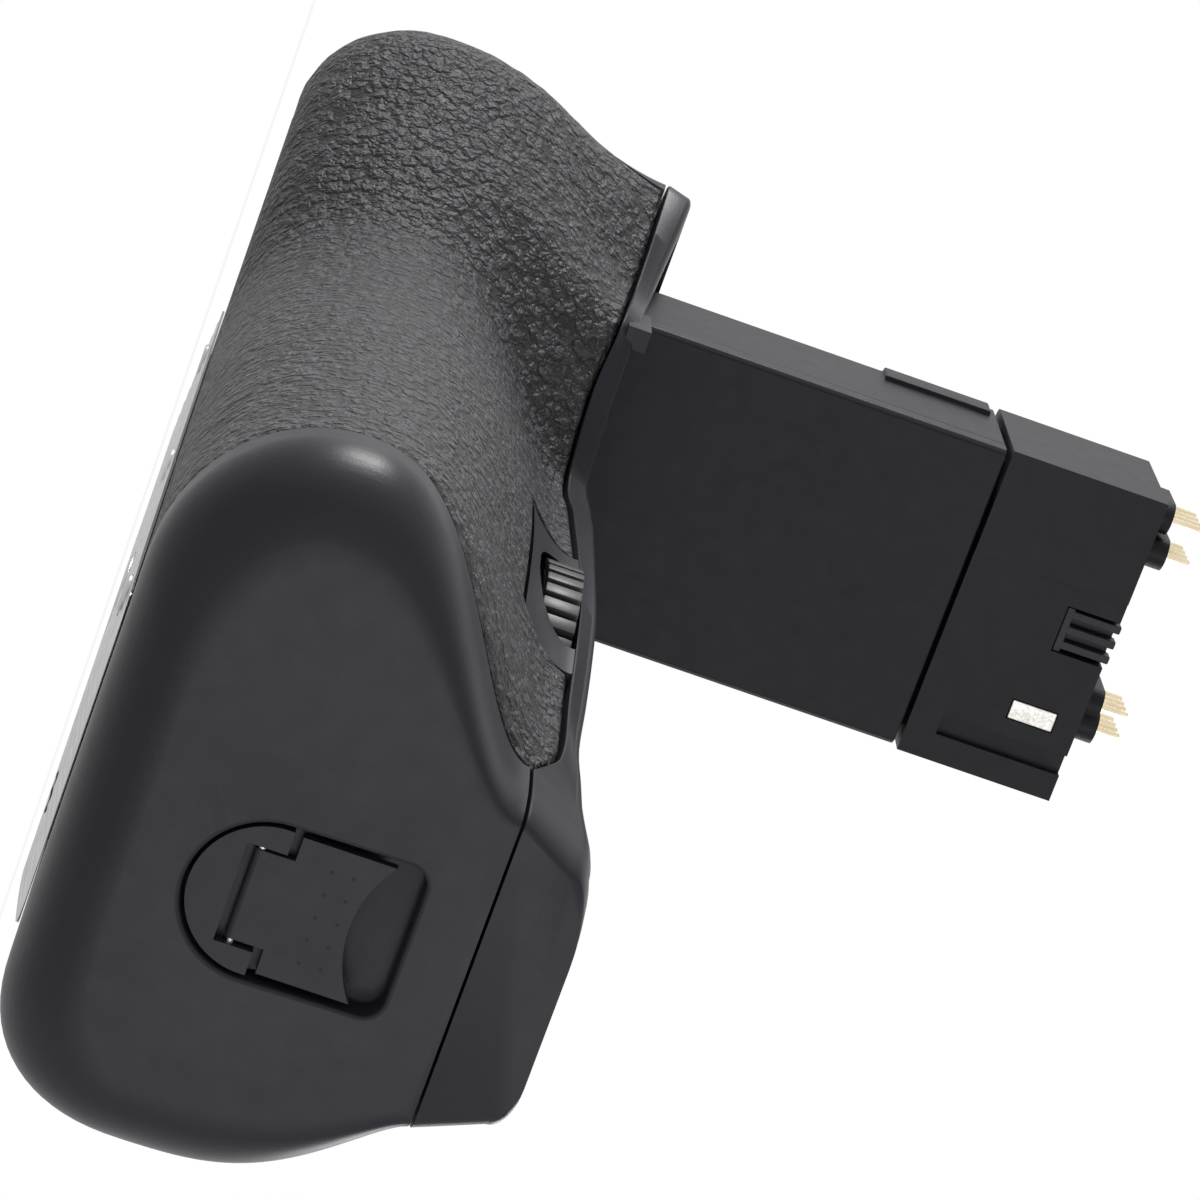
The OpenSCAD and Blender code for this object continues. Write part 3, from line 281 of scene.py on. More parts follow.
def bake(piece, sharp=SHARP):
    """Turns the modifiers of a piece into plain mesh."""
    done = bpy.data.meshes.new_from_object(piece.evaluated_get(bpy.context.evaluated_depsgraph_get()))
    old = piece.data
    piece.modifiers.clear()
    piece.data = done
    bpy.data.meshes.remove(old)
    shade(done, sharp)
    return piece


def carve(piece, cutters, sharp=SHARP, how="DIFFERENCE"):
    """Cuts the cutters out of a piece, or joins them to it, one after the other."""
    for cutter in cutters:
        cut = piece.modifiers.new("carve", "BOOLEAN")
        cut.object, cut.operation, cut.solver = cutter, how, "EXACT"
        bake(piece, sharp)
        bpy.data.objects.remove(cutter)
    return piece


def settle(piece, *nodes):
    """The piece stands for these CAD nodes, rides with their body and takes their finish."""
    piece.data.materials.clear()
    piece.data.materials.append(FINISH[SLOT[nodes[0]]])
    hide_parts(*nodes)
    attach(piece, BODY[nodes[0]])
    print(piece.name, len(piece.data.polygons), "faces")


# %% [markdown]
# Most pieces and all cutters are lofts: rings of points with faces between them and a face over each end. A block
# and a drum are the two plainest ones.

# %% Lofts
def ring_faces(rows, cols):
    """Quads between rings of points, and a face over each end."""
    i = np.arange(rows * cols).reshape(rows, cols)
    j = np.roll(i, -1, 1)
    quads = np.stack([i[:-1], j[:-1], j[1:], i[1:]], -1).reshape(-1, 4).tolist()
    return quads + [i[0, ::-1].tolist(), i[-1].tolist()]


def loft(name, rings, sharp=SHARP):
    """A closed piece through rings of points."""
    rings = np.asarray(rings, float)
    return piece_from(name, rings, ring_faces(*rings.shape[:2]), sharp)


def block(name, low, high):
    (x0, y0, z0), (x1, y1, z1) = low, high
    return loft(name, [[(x0, y0, z), (x1, y0, z), (x1, y1, z), (x0, y1, z)] for z in (z0, z1)])


def circle(steps):
    return np.linspace(0, 2 * np.pi, steps, endpoint=False)


def drum(name, centre, axis, radius, start, end, steps=64):
    """A cylinder along X, Y or Z."""
    a = circle(steps)
    k = "XYZ".index(axis)
    rings = []
    for d in (start, end):
        ring = np.zeros((steps, 3))
        ring[:, (k + 1) % 3] = centre[(k + 1) % 3] + radius * np.cos(a)
        ring[:, (k + 2) % 3] = centre[(k + 2) % 3] + radius * np.sin(a)
        ring[:, k] = d
        rings.append(ring)
    return loft(name, rings)


# %% [markdown]
# ## The lines of the body
# The body is a tube whose section changes along X. Its front wall swells into the hand grip, its top case steps
# round the stalk, and both ends are rounded. Each line is a smooth curve through a few measured keys,
# the same keys as in the CAD source, so a denser sampling stays on the CAD surface.

# %% Body lines
# Both ends, the mating face, the base and the height of the widest section.
NEAR, FAR, MATE, BASE, BELLY = 53.0, -90.3, 44.0, 1.2, 16.0
# Where the magazine parts from the body, the width of a seam, and the rounding of both ends.
SPLIT, SEAM, NEAR_R, FAR_R = 41.0, 0.3, 9.0, 13.0
SEAM_Z, ROOT_Z = 39.1, 42.2
BACK_TOP = SEAM_Z - SEAM / 2
KEYS = {
    "front": [(FAR, -48.2), (-76, -50.2), (-60, -42.95), (-44, -35.1), (0, -35.1), (SPLIT, -35.1)],
    "strip": [(FAR, -42.2), (-70, -33.0), (-58, -31.2), (-53, -23.75), (-48, -15.9), (-36, -15.3), (-13, -16.3),
              (0, -16.3), (10, -15.1), (24, -12.7), (SPLIT, -11.5), (NEAR, -11.5)],
    "top": [(FAR, 46.5), (-73, 44.6), (-57, 43.2), (-52, 43.0), (-49, 43.1), (-44, 44.1), (-12, 44.1),
            (17, 44.3), (27, 44.3), (36, 45.32), (45, 47.2), (NEAR, 47.3)],
    "under": [(FAR, 43.1), (-75, 42.5), (-57, 41.0), (-53.5, 40.3), (-48.4, 40.5), (-36, 41.2), (-15, 41.5),
              (22, 41.8), (36, 41.5), (40.2, 39.7), (SPLIT, SEAM_Z)],
    "lean": [(FAR, 0.6), (-50, 0.8), (0, 1.2), (24, 2.2), (SPLIT, 2.8), (NEAR, 3.0)],
    "ease": [(-76, 1.4), (-44, 1.9)], "belly": [(-76, 14.8), (-44, 16.0)], "foot": [(-76, 12.0), (-44, 16.0)],
    "crown": [(30, 1.2), (48, 8.0)], "rise": [(30, 0.7), (48, 2.805)],
}


def glide(x, line):
    """A smooth curve through the keys of a line, level at its ends."""
    keys = np.array(KEYS[line])
    x = np.clip(np.asarray(x, float), keys[0, 0], keys[-1, 0])
    slope = np.zeros(len(keys))
    slope[1:-1] = (keys[2:, 1] - keys[:-2, 1]) / (keys[2:, 0] - keys[:-2, 0])
    i = np.clip(np.searchsorted(keys[:, 0], x) - 1, 0, len(keys) - 2)
    h = keys[i + 1, 0] - keys[i, 0]
    u = (x - keys[i, 0]) / h
    return ((2 * u**3 - 3 * u**2 + 1) * keys[i, 1] + (u**3 - 2 * u**2 + u) * h * slope[i]
            + (3 * u**2 - 2 * u**3) * keys[i + 1, 1] + (u**3 - u**2) * h * slope[i + 1])


# %% [markdown]
# A section has a front and a back. Each rises from a round foot to the belly and leans in to the top case.
# All sections draw in together where the two ends are rounded.

# %% Sections of the body
SHARES = np.linspace(0, 1, 41)
# The back wall, the radius of its foot, and the back of the top case.
BACK_Y, BACK_FOOT_R, STRIP_BACK_Y = 31.7, 13, 21.4
# How much of the ends' rounding the base and the strip take, and the strip's own rounding at the far end.
BASE_TUCK, STRIP_TUCK, STRIP_FAR_R = 0.75, 0.25, 5.0
# The lean of the end face, and the powers that round the front, the back and the foot of the back.
LEAN, LEAN_FROM_Z = 0.05, 14
FRONT_POWER, BACK_POWER, BACK_EASE, FOOT_POWER = 2.4, 3, 1.4, 0.83


def rounded(t, r):
    """How far a quarter round of radius r draws in, at a distance t from its end."""
    t = np.asarray(t, float)
    return np.where(t < r, r - np.sqrt(np.maximum(0, r**2 - (r - np.minimum(t, r))**2)), 0)


def draw_in(x):
    return rounded(NEAR - x, NEAR_R) + rounded(x - FAR, FAR_R)


def sole_z(x):
    return BASE + BASE_TUCK * draw_in(x)


def strip_at(x):
    """Front edge of the top case, the strip beside the rubber."""
    return glide(x, "strip") + STRIP_TUCK * rounded(NEAR - x, NEAR_R) + rounded(x - FAR, STRIP_FAR_R)


def strip_back(x):
    return STRIP_BACK_Y - STRIP_TUCK * draw_in(x)


def leaned(x, z):
    """The end face leans back a little as it rises."""
    share = (x - SPLIT - 1) / (NEAR - SPLIT - 1)
    return np.where(x <= SPLIT + 1, x, x - share * LEAN * (z - LEAN_FROM_Z))


def wall_y(x, z, top):
    belly, y = glide(x, "belly"), glide(x, "front") + draw_in(x)
    u = np.clip((z - belly) / (top - belly), 0, 1)
    return y + (strip_at(x) - y) * (1 - (1 - u**FRONT_POWER)**glide(x, "ease"))


def column(v):
    return np.asarray(v, float).reshape(-1, 1)


def front_line(x, d, lift, top, foot=18, heights=SHARES):
    """Front of the section at each x, from the base up; heights are shares of the wall."""
    x, d, lift, top = column(x), column(d), column(lift), column(top)
    belly, z0, r = glide(x, "belly"), sole_z(x) + lift, glide(x, "foot")
    a = np.radians(np.linspace(0, 90, foot + 1))[None, :-1]
    y = glide(x, "front") + draw_in(x) + d
    z = belly + (top - belly) * heights
    return (np.hstack([y + r * (1 - np.sin(a)), wall_y(x, z, top) + d]),
            np.hstack([belly - (belly - z0) * np.cos(a), z]))


def back_line(x, d, lift, top, foot=(90, 0), heights=SHARES[:0:-1]):
    """Back of the section, from the top down; foot gives the first and last angle of its round corner."""
    x, d, lift, top = column(x), column(d), column(lift), column(top)
    y, t, z0 = BACK_Y - BASE_TUCK * draw_in(x) - d, strip_back(x) - d, sole_z(x) + lift
    u = heights[None]
    a = np.radians(np.linspace(*foot, 19))[None]
    wall = y - (y - t) * (1 - (1 - u**BACK_POWER)**BACK_EASE)
    foot_y = y - BACK_FOOT_R * (1 - np.sin(a)**FOOT_POWER)
    foot_z = BELLY - (BELLY - z0) * np.maximum(np.cos(a), 0)**FOOT_POWER
    return np.hstack([wall, foot_y]), np.hstack([BELLY + (top - BELLY) * u + 0 * y, foot_z])


# %% [markdown]
# The lines are joined into rings, one at each station along X. Stations lie closer where the shape turns faster:
# at the rounded ends, and at the corner where the top case steps round the stalk.

# %% Rings along the body
STALK_CORNER = np.arange(-62, -42, 0.6)
END_CLEAR, LEAST_STEP = 0.12, 0.05


def section(x, *lines):
    """Joins lines of a section into rings of points."""
    y, z = np.hstack([l[0] for l in lines]), np.hstack([l[1] for l in lines])
    return np.stack([leaned(np.asarray(x, float)[:, None] + 0 * z, z), y, z], -1)


def stations(x0, x1, pitch=1.2):
    """Places along X, from x0 to x1."""
    arc = np.sin(np.radians(np.linspace(0, 90, 25)))
    x = np.concatenate([np.arange(FAR, NEAR, pitch), FAR + FAR_R * (1 - arc), FAR + STRIP_FAR_R * (1 - arc),
                        NEAR - NEAR_R + NEAR_R * arc, STALK_CORNER])
    x = np.unique(np.round(x, 3))
    x = x[(x > x0 + END_CLEAR) & (x < x1 - END_CLEAR)]
    keep = np.concatenate([[True], np.diff(x) > LEAST_STEP])
    return np.concatenate([[x0], x[keep], [x1]])


crest = front_line([-76], 0, 0, [42])[0]
print("crest of the hand grip at y =", round(float(crest.min()), 1), "mm")

# %% [markdown]
# ## The end cover
# The cover is the smooth black end that the photograph shows largest. It is one thin moulding with a big round
# nose, hollow behind, with a D-shaped recess for the handle. A loft through dense sections gives the nose,
# and cutters give the hollow and the recess. The recess cutter flares at its mouth, which rounds the rim.

# %% End cover
KNOB_Y, KNOB_Z, RECESS_X, RECESS_R = 4.2, 20.4, 48.6, 7.3
# The height of the D over its centre, its corners, and the rounding of its rim and of its bottom edge.
RECESS_TALL, RECESS_CORNER, RIM_R, BOTTOM_R = 10.8, 2, 0.45, 0.5
WALL, SHAFT_BORE_R, NOSE_FLAT = 2.2, 2.25, 0.96


def recess_outline(grow):
    """The D, made larger all round by grow."""
    low = np.radians(np.linspace(180, 360, 49))
    turn = np.radians(np.linspace(0, 90, 13))
    r, half, c = RECESS_R + grow, RECESS_R - RECESS_CORNER, RECESS_CORNER + grow
    y = np.concatenate([r * np.cos(low), half + c * np.cos(turn), -half - c * np.sin(turn)])
    z = np.concatenate([r * np.sin(low), RECESS_TALL + c * np.sin(turn), RECESS_TALL + c * np.cos(turn)])
    return y + KNOB_Y, z + KNOB_Z


def recess_cutter():
    rings = []
    for a in np.radians(np.linspace(0, 90, 6)):
        y, z = recess_outline(-BOTTOM_R * (1 - np.sin(a)))
        rings.append(np.stack([0 * y + RECESS_X + BOTTOM_R * (1 - np.cos(a)), y, z], -1))
    for a in np.radians(np.linspace(0, 90, 7)):
        y, z = recess_outline(RIM_R * (1 - np.cos(a)))
        rings.append(np.stack([leaned(NEAR + 0 * y, z) - RIM_R * (1 - np.sin(a)), y, z], -1))
    rings.append(rings[-1] + [1.5, 0, 0])
    return loft("recess", rings)


x = stations(SPLIT + SEAM / 2, NEAR, 0.8)
top = glide(x, "under") - SEAM / 2
rings = section(x, front_line(x, 0, 0, top), back_line(x, 0, 0, BACK_TOP))
middle = np.array([0, 4.0, 18.0])
flat = middle + (rings[-1] - middle) * NOSE_FLAT
flat[:, 0] = leaned(NEAR + 0 * flat[:, 2], flat[:, 2])
cover = loft("end_cover_shell", np.concatenate([rings, flat[None]]))
x = np.linspace(SPLIT - 1, SPLIT + 5, 16)
top = glide(x, "under") - SEAM / 2 - WALL
hollow = section(x, front_line(x, WALL, WALL, top), back_line(x, WALL, WALL, BACK_TOP - WALL))
carve(cover, [loft("hollow", hollow), recess_cutter(),
              drum("bore", (0, KNOB_Y, KNOB_Z), "X", SHAFT_BORE_R, SPLIT, NEAR + 1)])
settle(cover, "end_cover")

# %% [markdown]
# ## The grip rubber
# The rubber is a two millimetre skin glued over the front wall, with a window round the thumbwheel and a narrow
# tongue beyond it. It could be a solid cut from the body. Here it is a grid of points on the body's own lines,
# with the cells of the window left out, so that its edges can be rolled over and its face made a little uneven.

# %% Skins
def shell(name, outer, inner, keep, sharp=45):
    """A skin between two grids of points; keep says which cells are there."""
    count = outer.shape[0] * outer.shape[1]
    i = np.arange(count).reshape(outer.shape[:2])
    quads = np.stack([i[:-1, :-1], i[1:, :-1], i[1:, 1:], i[:-1, 1:]], -1)[keep]
    edges = np.concatenate([quads[:, [k, (k + 1) % 4]] for k in range(4)])
    rim = edges[~np.isin(edges[:, 0] * count + edges[:, 1], edges[:, 1] * count + edges[:, 0])]
    walls = np.stack([rim[:, 1], rim[:, 0], rim[:, 0] + count, rim[:, 1] + count], -1)
    points = np.concatenate([outer.reshape(-1, 3), inner.reshape(-1, 3)])
    return piece_from(name, points, np.concatenate([quads, quads[:, ::-1] + count, walls]).tolist(), sharp)


def outward(grid, towards):
    """Unit normals of a grid of points, on the side of a direction."""
    n = np.cross(np.gradient(grid, axis=0), np.gradient(grid, axis=1))
    n /= np.linalg.norm(n, axis=-1, keepdims=True) + 1e-12
    return n * np.where((n * towards).sum(-1, keepdims=True).mean() < 0, -1, 1)


def waviness(points, size, seed):
    """Smooth random heights from 0 to 1 on a lattice of that size, in mm."""
    table = np.random.default_rng(seed).random((32, 32, 32))
    p = points / size
    cell = np.floor(p).astype(int)
    f = p - cell
    f = f * f * (3 - 2 * f)
    total = 0
    for corner in np.ndindex(2, 2, 2):
        weight = np.prod(np.where(np.array(corner), f, 1 - f), -1)
        c = (cell + corner) % 32
        total = total + weight * table[c[..., 0], c[..., 1], c[..., 2]]
    return total


# Size and depth of two kinds of unevenness, the round of the edge, and the calm border beside it.
WAVES, EDGE_R, EDGE_CALM = ((1.3, 0.14), (2.9, 0.12)), 0.6, 1.5


def pressed(grid, towards, edge, seed):
    """Rolls a skin over at its edge and makes its face a little uneven."""
    n = outward(grid, towards)
    relief = sum((waviness(grid, size, seed + k) - 0.5) * deep for k, (size, deep) in enumerate(WAVES))
    lift = relief * np.clip(edge / EDGE_CALM, 0, 1) - rounded(edge, EDGE_R)
    return grid + n * lift[..., None]


def to_border(grid, x):
    """How far each point of a skin lies from its border."""
    steps = np.linalg.norm(np.diff(grid, axis=1), axis=-1)
    along = np.concatenate([np.zeros((len(x), 1)), np.cumsum(steps, 1)], 1)
    return np.minimum.reduce([grid[..., 0] - x[0], x[-1] - grid[..., 0], along, along[:, -1:] - along])


def share_of(x, z, top):
    """A height as a share of the front wall at each x."""
    return column((z - glide(x, "belly")) / (top - glide(x, "belly")))


# %% [markdown]
# The rows of the grip rubber's grid bend so that one of them runs along the sill of the window, and two of its
# stations lie on the window's sides. So the window can be left out cell by cell, with straight edges.

# %% Grip rubber
WINDOW_X, WINDOW_Z = (-14.0, 17.0), 35.6
RUBBER_FAR, RUBBER_T, RUBBER_LIFT, RUBBER_SEED = -85.2, 2.0, 1.2, 3
FOOT_STEPS, WALL_STEPS, LIP_STEPS = 36, 46, 14
x = np.union1d(stations(RUBBER_FAR, SPLIT - SEAM / 2, 0.55), WINDOW_X)
top = glide(x, "under") - SEAM / 2
sill = share_of(x, WINDOW_Z, top)
shares = np.hstack([np.linspace(0, 1, WALL_STEPS + 1)[None] * sill,
                    sill + (1 - sill) * np.linspace(0, 1, LIP_STEPS + 1)[None, 1:]])
outer = section(x, front_line(x, 0, 0, top, FOOT_STEPS, shares))
inner = section(x, front_line(x, RUBBER_T, RUBBER_LIFT, top, FOOT_STEPS, shares))
X, Z = outer[..., 0], outer[..., 2]
beside = np.maximum(np.maximum(WINDOW_X[0] - X, X - WINDOW_X[1]), 0)
edge = np.minimum(to_border(outer, x), np.hypot(beside, np.maximum(WINDOW_Z - Z, 0)))
in_window = (x[:-1] >= WINDOW_X[0] - 0.01) & (x[1:] <= WINDOW_X[1] + 0.01)
over_sill = np.arange(outer.shape[1] - 1) >= FOOT_STEPS + WALL_STEPS
keep = ~(in_window[:, None] & over_sill[None])
rubber = shell("grip_rubber_skin", pressed(outer, (0, -1, 0), edge, RUBBER_SEED), inner, keep)
settle(rubber, "grip_rubber")

# %% [markdown]
# The thumb rest on the back is a second, thinner skin of the same rubber, made the same way.

# %% Rear rubber
REST_FAR, REST_NEAR, REST_T, REST_SEED = -43.7, -12.3, 1.6, 11
REST_TOP, REST_FOOT = 8 / 9, (90, 60)
x = stations(REST_FAR, REST_NEAR, 0.7)
rows = np.linspace(REST_TOP, 0, 48)[:-1]
outer = section(x, back_line(x, 0, 0, BACK_TOP, REST_FOOT, rows))
inner = section(x, back_line(x, REST_T, 0, BACK_TOP, REST_FOOT, rows))
face = pressed(outer, (0, 1, 0), to_border(outer, x), REST_SEED)
rest = shell("rear_rubber_skin", face, inner, np.ones((len(x) - 1, outer.shape[1] - 1), bool))
settle(rest, "rear_rubber")

# %% [markdown]
# ## The housing
# The lower housing carries everything. It is drawn in where the two rubbers lie, so that they sit flush, and it
# is hollow for the battery chamber. A dense loft makes the outside, a second loft hollows it,
# and plain cutters open it for the wheel, the buttons and the screws.

# %% Lower housing
# Pairs of stations where the wall steps in behind a rubber, how far it steps, and a hair's breadth elsewhere.
RUBBER_STEP, REST_STEP_FAR, REST_STEP_NEAR = (-85.4, -85.3), (-44.1, -43.9), (-12.1, -11.9)
RUBBER_POCKET, REST_POCKET, HAIR = 2.1, 1.7, 0.05
FRONT_WALL, SOLE_WALL, BACK_WALL = 4.3, 3.46, 3.8
x = np.concatenate([stations(FAR, RUBBER_STEP[0]), stations(RUBBER_STEP[1], REST_STEP_FAR[0]),
                    stations(REST_STEP_FAR[1], REST_STEP_NEAR[0]), stations(REST_STEP_NEAR[1], SPLIT - SEAM / 2)])
top = glide(x, "under") - SEAM / 2
front_gap = np.where(x >= RUBBER_STEP[1], RUBBER_POCKET, HAIR)
rear_gap = np.where((x >= REST_STEP_FAR[1]) & (x <= REST_STEP_NEAR[0]), REST_POCKET, 0.0)
front = front_line(x, front_gap, np.maximum(HAIR, 0.6 * front_gap), top)
sole = (front[0][:, :1], column(sole_z(x)))
housing = loft("lower_housing_shell", section(x, sole, front, back_line(x, rear_gap, 0, BACK_TOP)))
x = stations(FAR + WALL, SPLIT + 1, 2.5)
top = glide(x, "under")
front = front_line(x, FRONT_WALL, SOLE_WALL, top, 8, SHARES[::4])
back = back_line(x, BACK_WALL, WALL, SEAM_Z, (90, 0), SHARES[:0:-4])
floor = (front[0][:, :1], column(sole_z(x) + WALL))
roof = (np.hstack([front[0][:, -1:], back[0][:, :1]]), np.full((len(x), 2), MATE))
hollow = section(x, floor, front, roof, back)
print("housing: rings at", len(housing.data.vertices), "points")

# %% [markdown]
# The openings of the housing are plain cutters: the battery chamber, the slot of the wheel, the tripod socket, the
# controls in the far end, the base screws and the rear buttons.

# %% Openings of the housing
WHEEL_SLOT_R, WHEEL_SLOT_Z, SOCKET_BORE_R = 19.0, (36.9, 42.0), 6.275
CHAMBER = (-79.3, -18.2, 5.2), (SPLIT + 2, 24.6, 29.6)
DIAL_SLOT = (FAR - 1, -14.3, 16.5), (FAR + 4.2, -8.7, 27.5)
# Place (y, z), radius and depth of each round opening in the far end.
END_BORES = {"shutter": ((-24, 22), 6.6, 3.2), "key": ((2, 29), 3.25, 3.2), "pivot": ((11, 19), 1.55, 3.2),
             "lever": ((11, 19), 4.9, 1.1)}
SCREW_X, SCREW_Y = (-66, -20, 26), (-10, 10)
SCREWS = [(sx, sy) for sx in SCREW_X for sy in SCREW_Y]
SCREW_BORE_R, SCREW_BORE_Z, SOCKET_BORE_Z = 1.1, 4.4, 5.4
REAR_KEYS_X, REAR_KEYS_Y, REAR_KEYS_Z, REAR_KEY_R = (-54, -64, -74), (27.3, 34), 16, 3.25


def wheel_slot():
    return drum("wheel_slot", (0, 0, 0), "Z", WHEEL_SLOT_R, *WHEEL_SLOT_Z, 128)


cutters = [loft("hollow", hollow), block("chamber", *CHAMBER), wheel_slot(),
           drum("socket", (0, 0, 0), "Z", SOCKET_BORE_R, -1, SOCKET_BORE_Z)]
for name, (at, radius, deep) in END_BORES.items():
    cutters.append(drum(name, (0, *at), "X", radius, FAR - 1, FAR + deep))
cutters.append(block("dial", *DIAL_SLOT))
cutters += [drum("screw", (sx, sy, 0), "Z", SCREW_BORE_R, -1, SCREW_BORE_Z, 24) for sx, sy in SCREWS]
cutters += [drum("rear", (rx, 0, REAR_KEYS_Z), "Y", REAR_KEY_R, *REAR_KEYS_Y) for rx in REAR_KEYS_X]
carve(housing, cutters)
settle(housing, "lower_housing")

# %% [markdown]
# ## The top case
# The top case is the plate that meets the camera. Its front edge is the satin strip beside the rubber, low at
# the stalk and rising to a lip at each end. It is lofted like the body, and its pockets are cut from above.

# %% Top case
# The small round at the foot of the strip, the back's share of the lean, and the largest crown of the back lip.
STRIP_FOOT, BACK_LEAN, BACK_CROWN, BACK_RISE = 0.25, 0.8, 3.5, 2


def top_rings(x):
    """Rings of the top case: up the strip, over the crowned front lip, and down the back."""
    s, back, lean = column(strip_at(x)), column(strip_back(x)), column(glide(x, "lean"))
    z0, z1 = column(glide(x, "under") + SEAM / 2), column(glide(x, "top"))
    cy, cz = column(glide(x, "crown")), column(glide(x, "rise"))
    by, bz = np.minimum(BACK_CROWN, cy), np.minimum(BACK_RISE, cz)
    a = np.radians(np.linspace(0, 90, 11))[None]
    b = a[:, ::-1]
    front_y, front_z = s + lean + cy * (1 - np.cos(a)), z1 - cz * (1 - np.sin(a))
    back_y, back_z = back - BACK_LEAN * lean - by * (1 - np.cos(b)), z1 - bz * (1 - np.sin(b))
    y = [s + STRIP_FOOT, s + 0.07, s + 0.02, front_y, back_y, back]
    z = [z0, z0 + 0.07, z0 + STRIP_FOOT, front_z, back_z, SEAM_Z + SEAM / 2 + 0 * z0]
    return section(x, (np.hstack(y), np.hstack(z)))


case = loft("top_case_shell", top_rings(stations(FAR, NEAR, 0.9)))
print("top case before its pockets:", len(case.data.polygons), "faces")

# %% [markdown]
# Two pockets leave the raised lips, one deeper under the stalk. A third hollows the case from below. A small tab
# stands on the strip beside the stalk.

# %% Pockets of the top case
LIP, END_LIP, CASE_WALL = 2.4, 4.4, 4.8
STALK_X, STALK_Y, STALK_R, STALK_GAP = (-84.0, -63.7), (-30.4, 5.1), 1.5, 0.3
TAB_X, TAB_HALF, TAB_DEEP, TAB_IN, TAB_FOOT, TAB_TALL = -61.0, 4, 2.4, 0.3, 42.0, 1
# Ends of the two pockets and of the hollow below, and a height that is clear of the lips.
NEAR_POCKET_X, FAR_POCKET_X, HOLLOW_X, HOLLOW_Z, CLEAR_Z = -36, -38, -46, (6.2, MATE - 2), MATE + 9
CABLE_WAY = (-79, -24.65, 6.2), (-69, -0.65, MATE + 6.2)
SCREW_WAY_R, PIN_WAY_R, PIN_AT = 3.775, 2.1, (-26, 0, 0)


def prism(name, outline, z0, z1):
    return loft(name, [np.column_stack([outline, np.full(len(outline), z)]) for z in (z0, z1)])


def pocket(x0, x1, d, z0, z1):
    """Cutter that follows the outline of the top case, set in by d."""
    x = stations(x0, x1, 1.5)
    lean = glide(x, "lean")
    y = np.concatenate([strip_at(x) + lean + d, (strip_back(x) - BACK_LEAN * lean - d)[::-1]])
    return prism("pocket", np.stack([np.concatenate([x, x[::-1]]), y], -1), z0, z1)


def stalk_outline(d):
    """Foot of the stalk with a gap d round it and both far corners rounded."""
    turn = np.radians(np.linspace(0, 90, 9))
    (far, near), (y0, y1), r = STALK_X, STALK_Y, STALK_R
    c = far - d + r
    low = np.stack([c - r * np.cos(turn), y0 - d + r - r * np.sin(turn)], -1)
    high = np.stack([c - r * np.sin(turn), y1 + d - r + r * np.cos(turn)], -1)
    return np.concatenate([low, [[near, y0 - d], [near, y1 + d]], high])


at = np.array([TAB_X])
tab_y = float(strip_at(at)[0] + glide(at, "lean")[0]) + TAB_IN
tab_top = float(glide(at, "top")[0]) + TAB_TALL
tab = block("tab", (TAB_X - TAB_HALF, tab_y, TAB_FOOT), (TAB_X + TAB_HALF, tab_y + TAB_DEEP, tab_top))
carve(case, [tab], how="UNION")
carve(case, [pocket(NEAR_POCKET_X, NEAR - END_LIP, LIP, MATE, CLEAR_Z),
             pocket(FAR + END_LIP, FAR_POCKET_X, LIP, ROOT_Z, CLEAR_Z),
             pocket(HOLLOW_X, SPLIT, CASE_WALL, *HOLLOW_Z), wheel_slot(),
             drum("screw", (0, 0, 0), "Z", SCREW_WAY_R, 0, MATE + 1),
             drum("pin", PIN_AT, "Z", PIN_WAY_R, MATE - 3, MATE + 1, 32),
             prism("stalk", stalk_outline(STALK_GAP), ROOT_Z, MATE + 42), block("cable", *CABLE_WAY)])
settle(case, "top_case")

# %% [markdown]
# ## The wheel's frame
# The thumbwheel shows through a plain plastic frame that fills the window in the rubber and runs into the strip
# above it. It is a patch of the body's own front line, cut by the wheel's slot.

# %% Wheel frame
FRAME_GAP, FRAME_T, FRAME_SINK, FRAME_RISE = 0.1, 1.6, 0.35, 0.28
COLUMNS, ROWS = 64, 25
x = np.linspace(WINDOW_X[0] + FRAME_GAP, WINDOW_X[1] - FRAME_GAP, COLUMNS)
top = glide(x, "under") - SEAM / 2
low = share_of(x, WINDOW_Z + FRAME_GAP, top)
u = np.linspace(0, 1, ROWS)[None]
y, z = (line[:, 1:] for line in front_line(x, 0, 0, top, 1, low + (1 - low) * u))
z = z + FRAME_RISE * u**4
outer, inner = section(x, (y + FRAME_SINK * (1 - u**2), z)), section(x, (y + FRAME_T, z))
panel = shell("wheel_frame_panel", outer, inner, np.ones((COLUMNS - 1, ROWS - 1), bool))
carve(panel, [wheel_slot()])
settle(panel, "wheel_frame")

# %% [markdown]
# ## Edges of the moulded and turned pieces
# The stalk, the tray, the buttons and the small metal pieces have the right shape in CAD, but a CAD edge is
# knife sharp, and a real one is a fifth of a millimetre round and catches the light. Each is a copy of its
# CAD node with its loose triangles merged, its flat faces joined and its edges bevelled.

# %% Edged copies of CAD nodes
# Edges sharper than the first angle are bevelled; faces that meet at less than the second are one flat face.
BEVEL_OVER, FLAT_UNDER, BEVEL_STEPS = 35, 0.5, 2


def edged(name, width):
    bm = bmesh.new()
    bm.from_mesh(frame["nodes"][name].data)
    bmesh.ops.remove_doubles(bm, verts=bm.verts, dist=2e-6)
    bmesh.ops.dissolve_limit(bm, angle_limit=math.radians(FLAT_UNDER), verts=bm.verts, edges=bm.edges)
    over = math.radians(BEVEL_OVER)
    edges = [e for e in bm.edges if len(e.link_faces) == 2 and e.calc_face_angle(0) > over]
    bmesh.ops.bevel(bm, geom=edges, offset=width * MM, offset_type="OFFSET", segments=BEVEL_STEPS, profile=0.5,
                    affect="EDGES", clamp_overlap=True)
    mesh = bpy.data.meshes.new(name + "_edged")
    bm.to_mesh(mesh)
    bm.free()
    shade(mesh, SHARP)
    piece = add_object(name + "_edged", mesh)
    piece.modifiers.new("flat_faces", "WEIGHTED_NORMAL").keep_sharp = True
    settle(bake(piece), name)


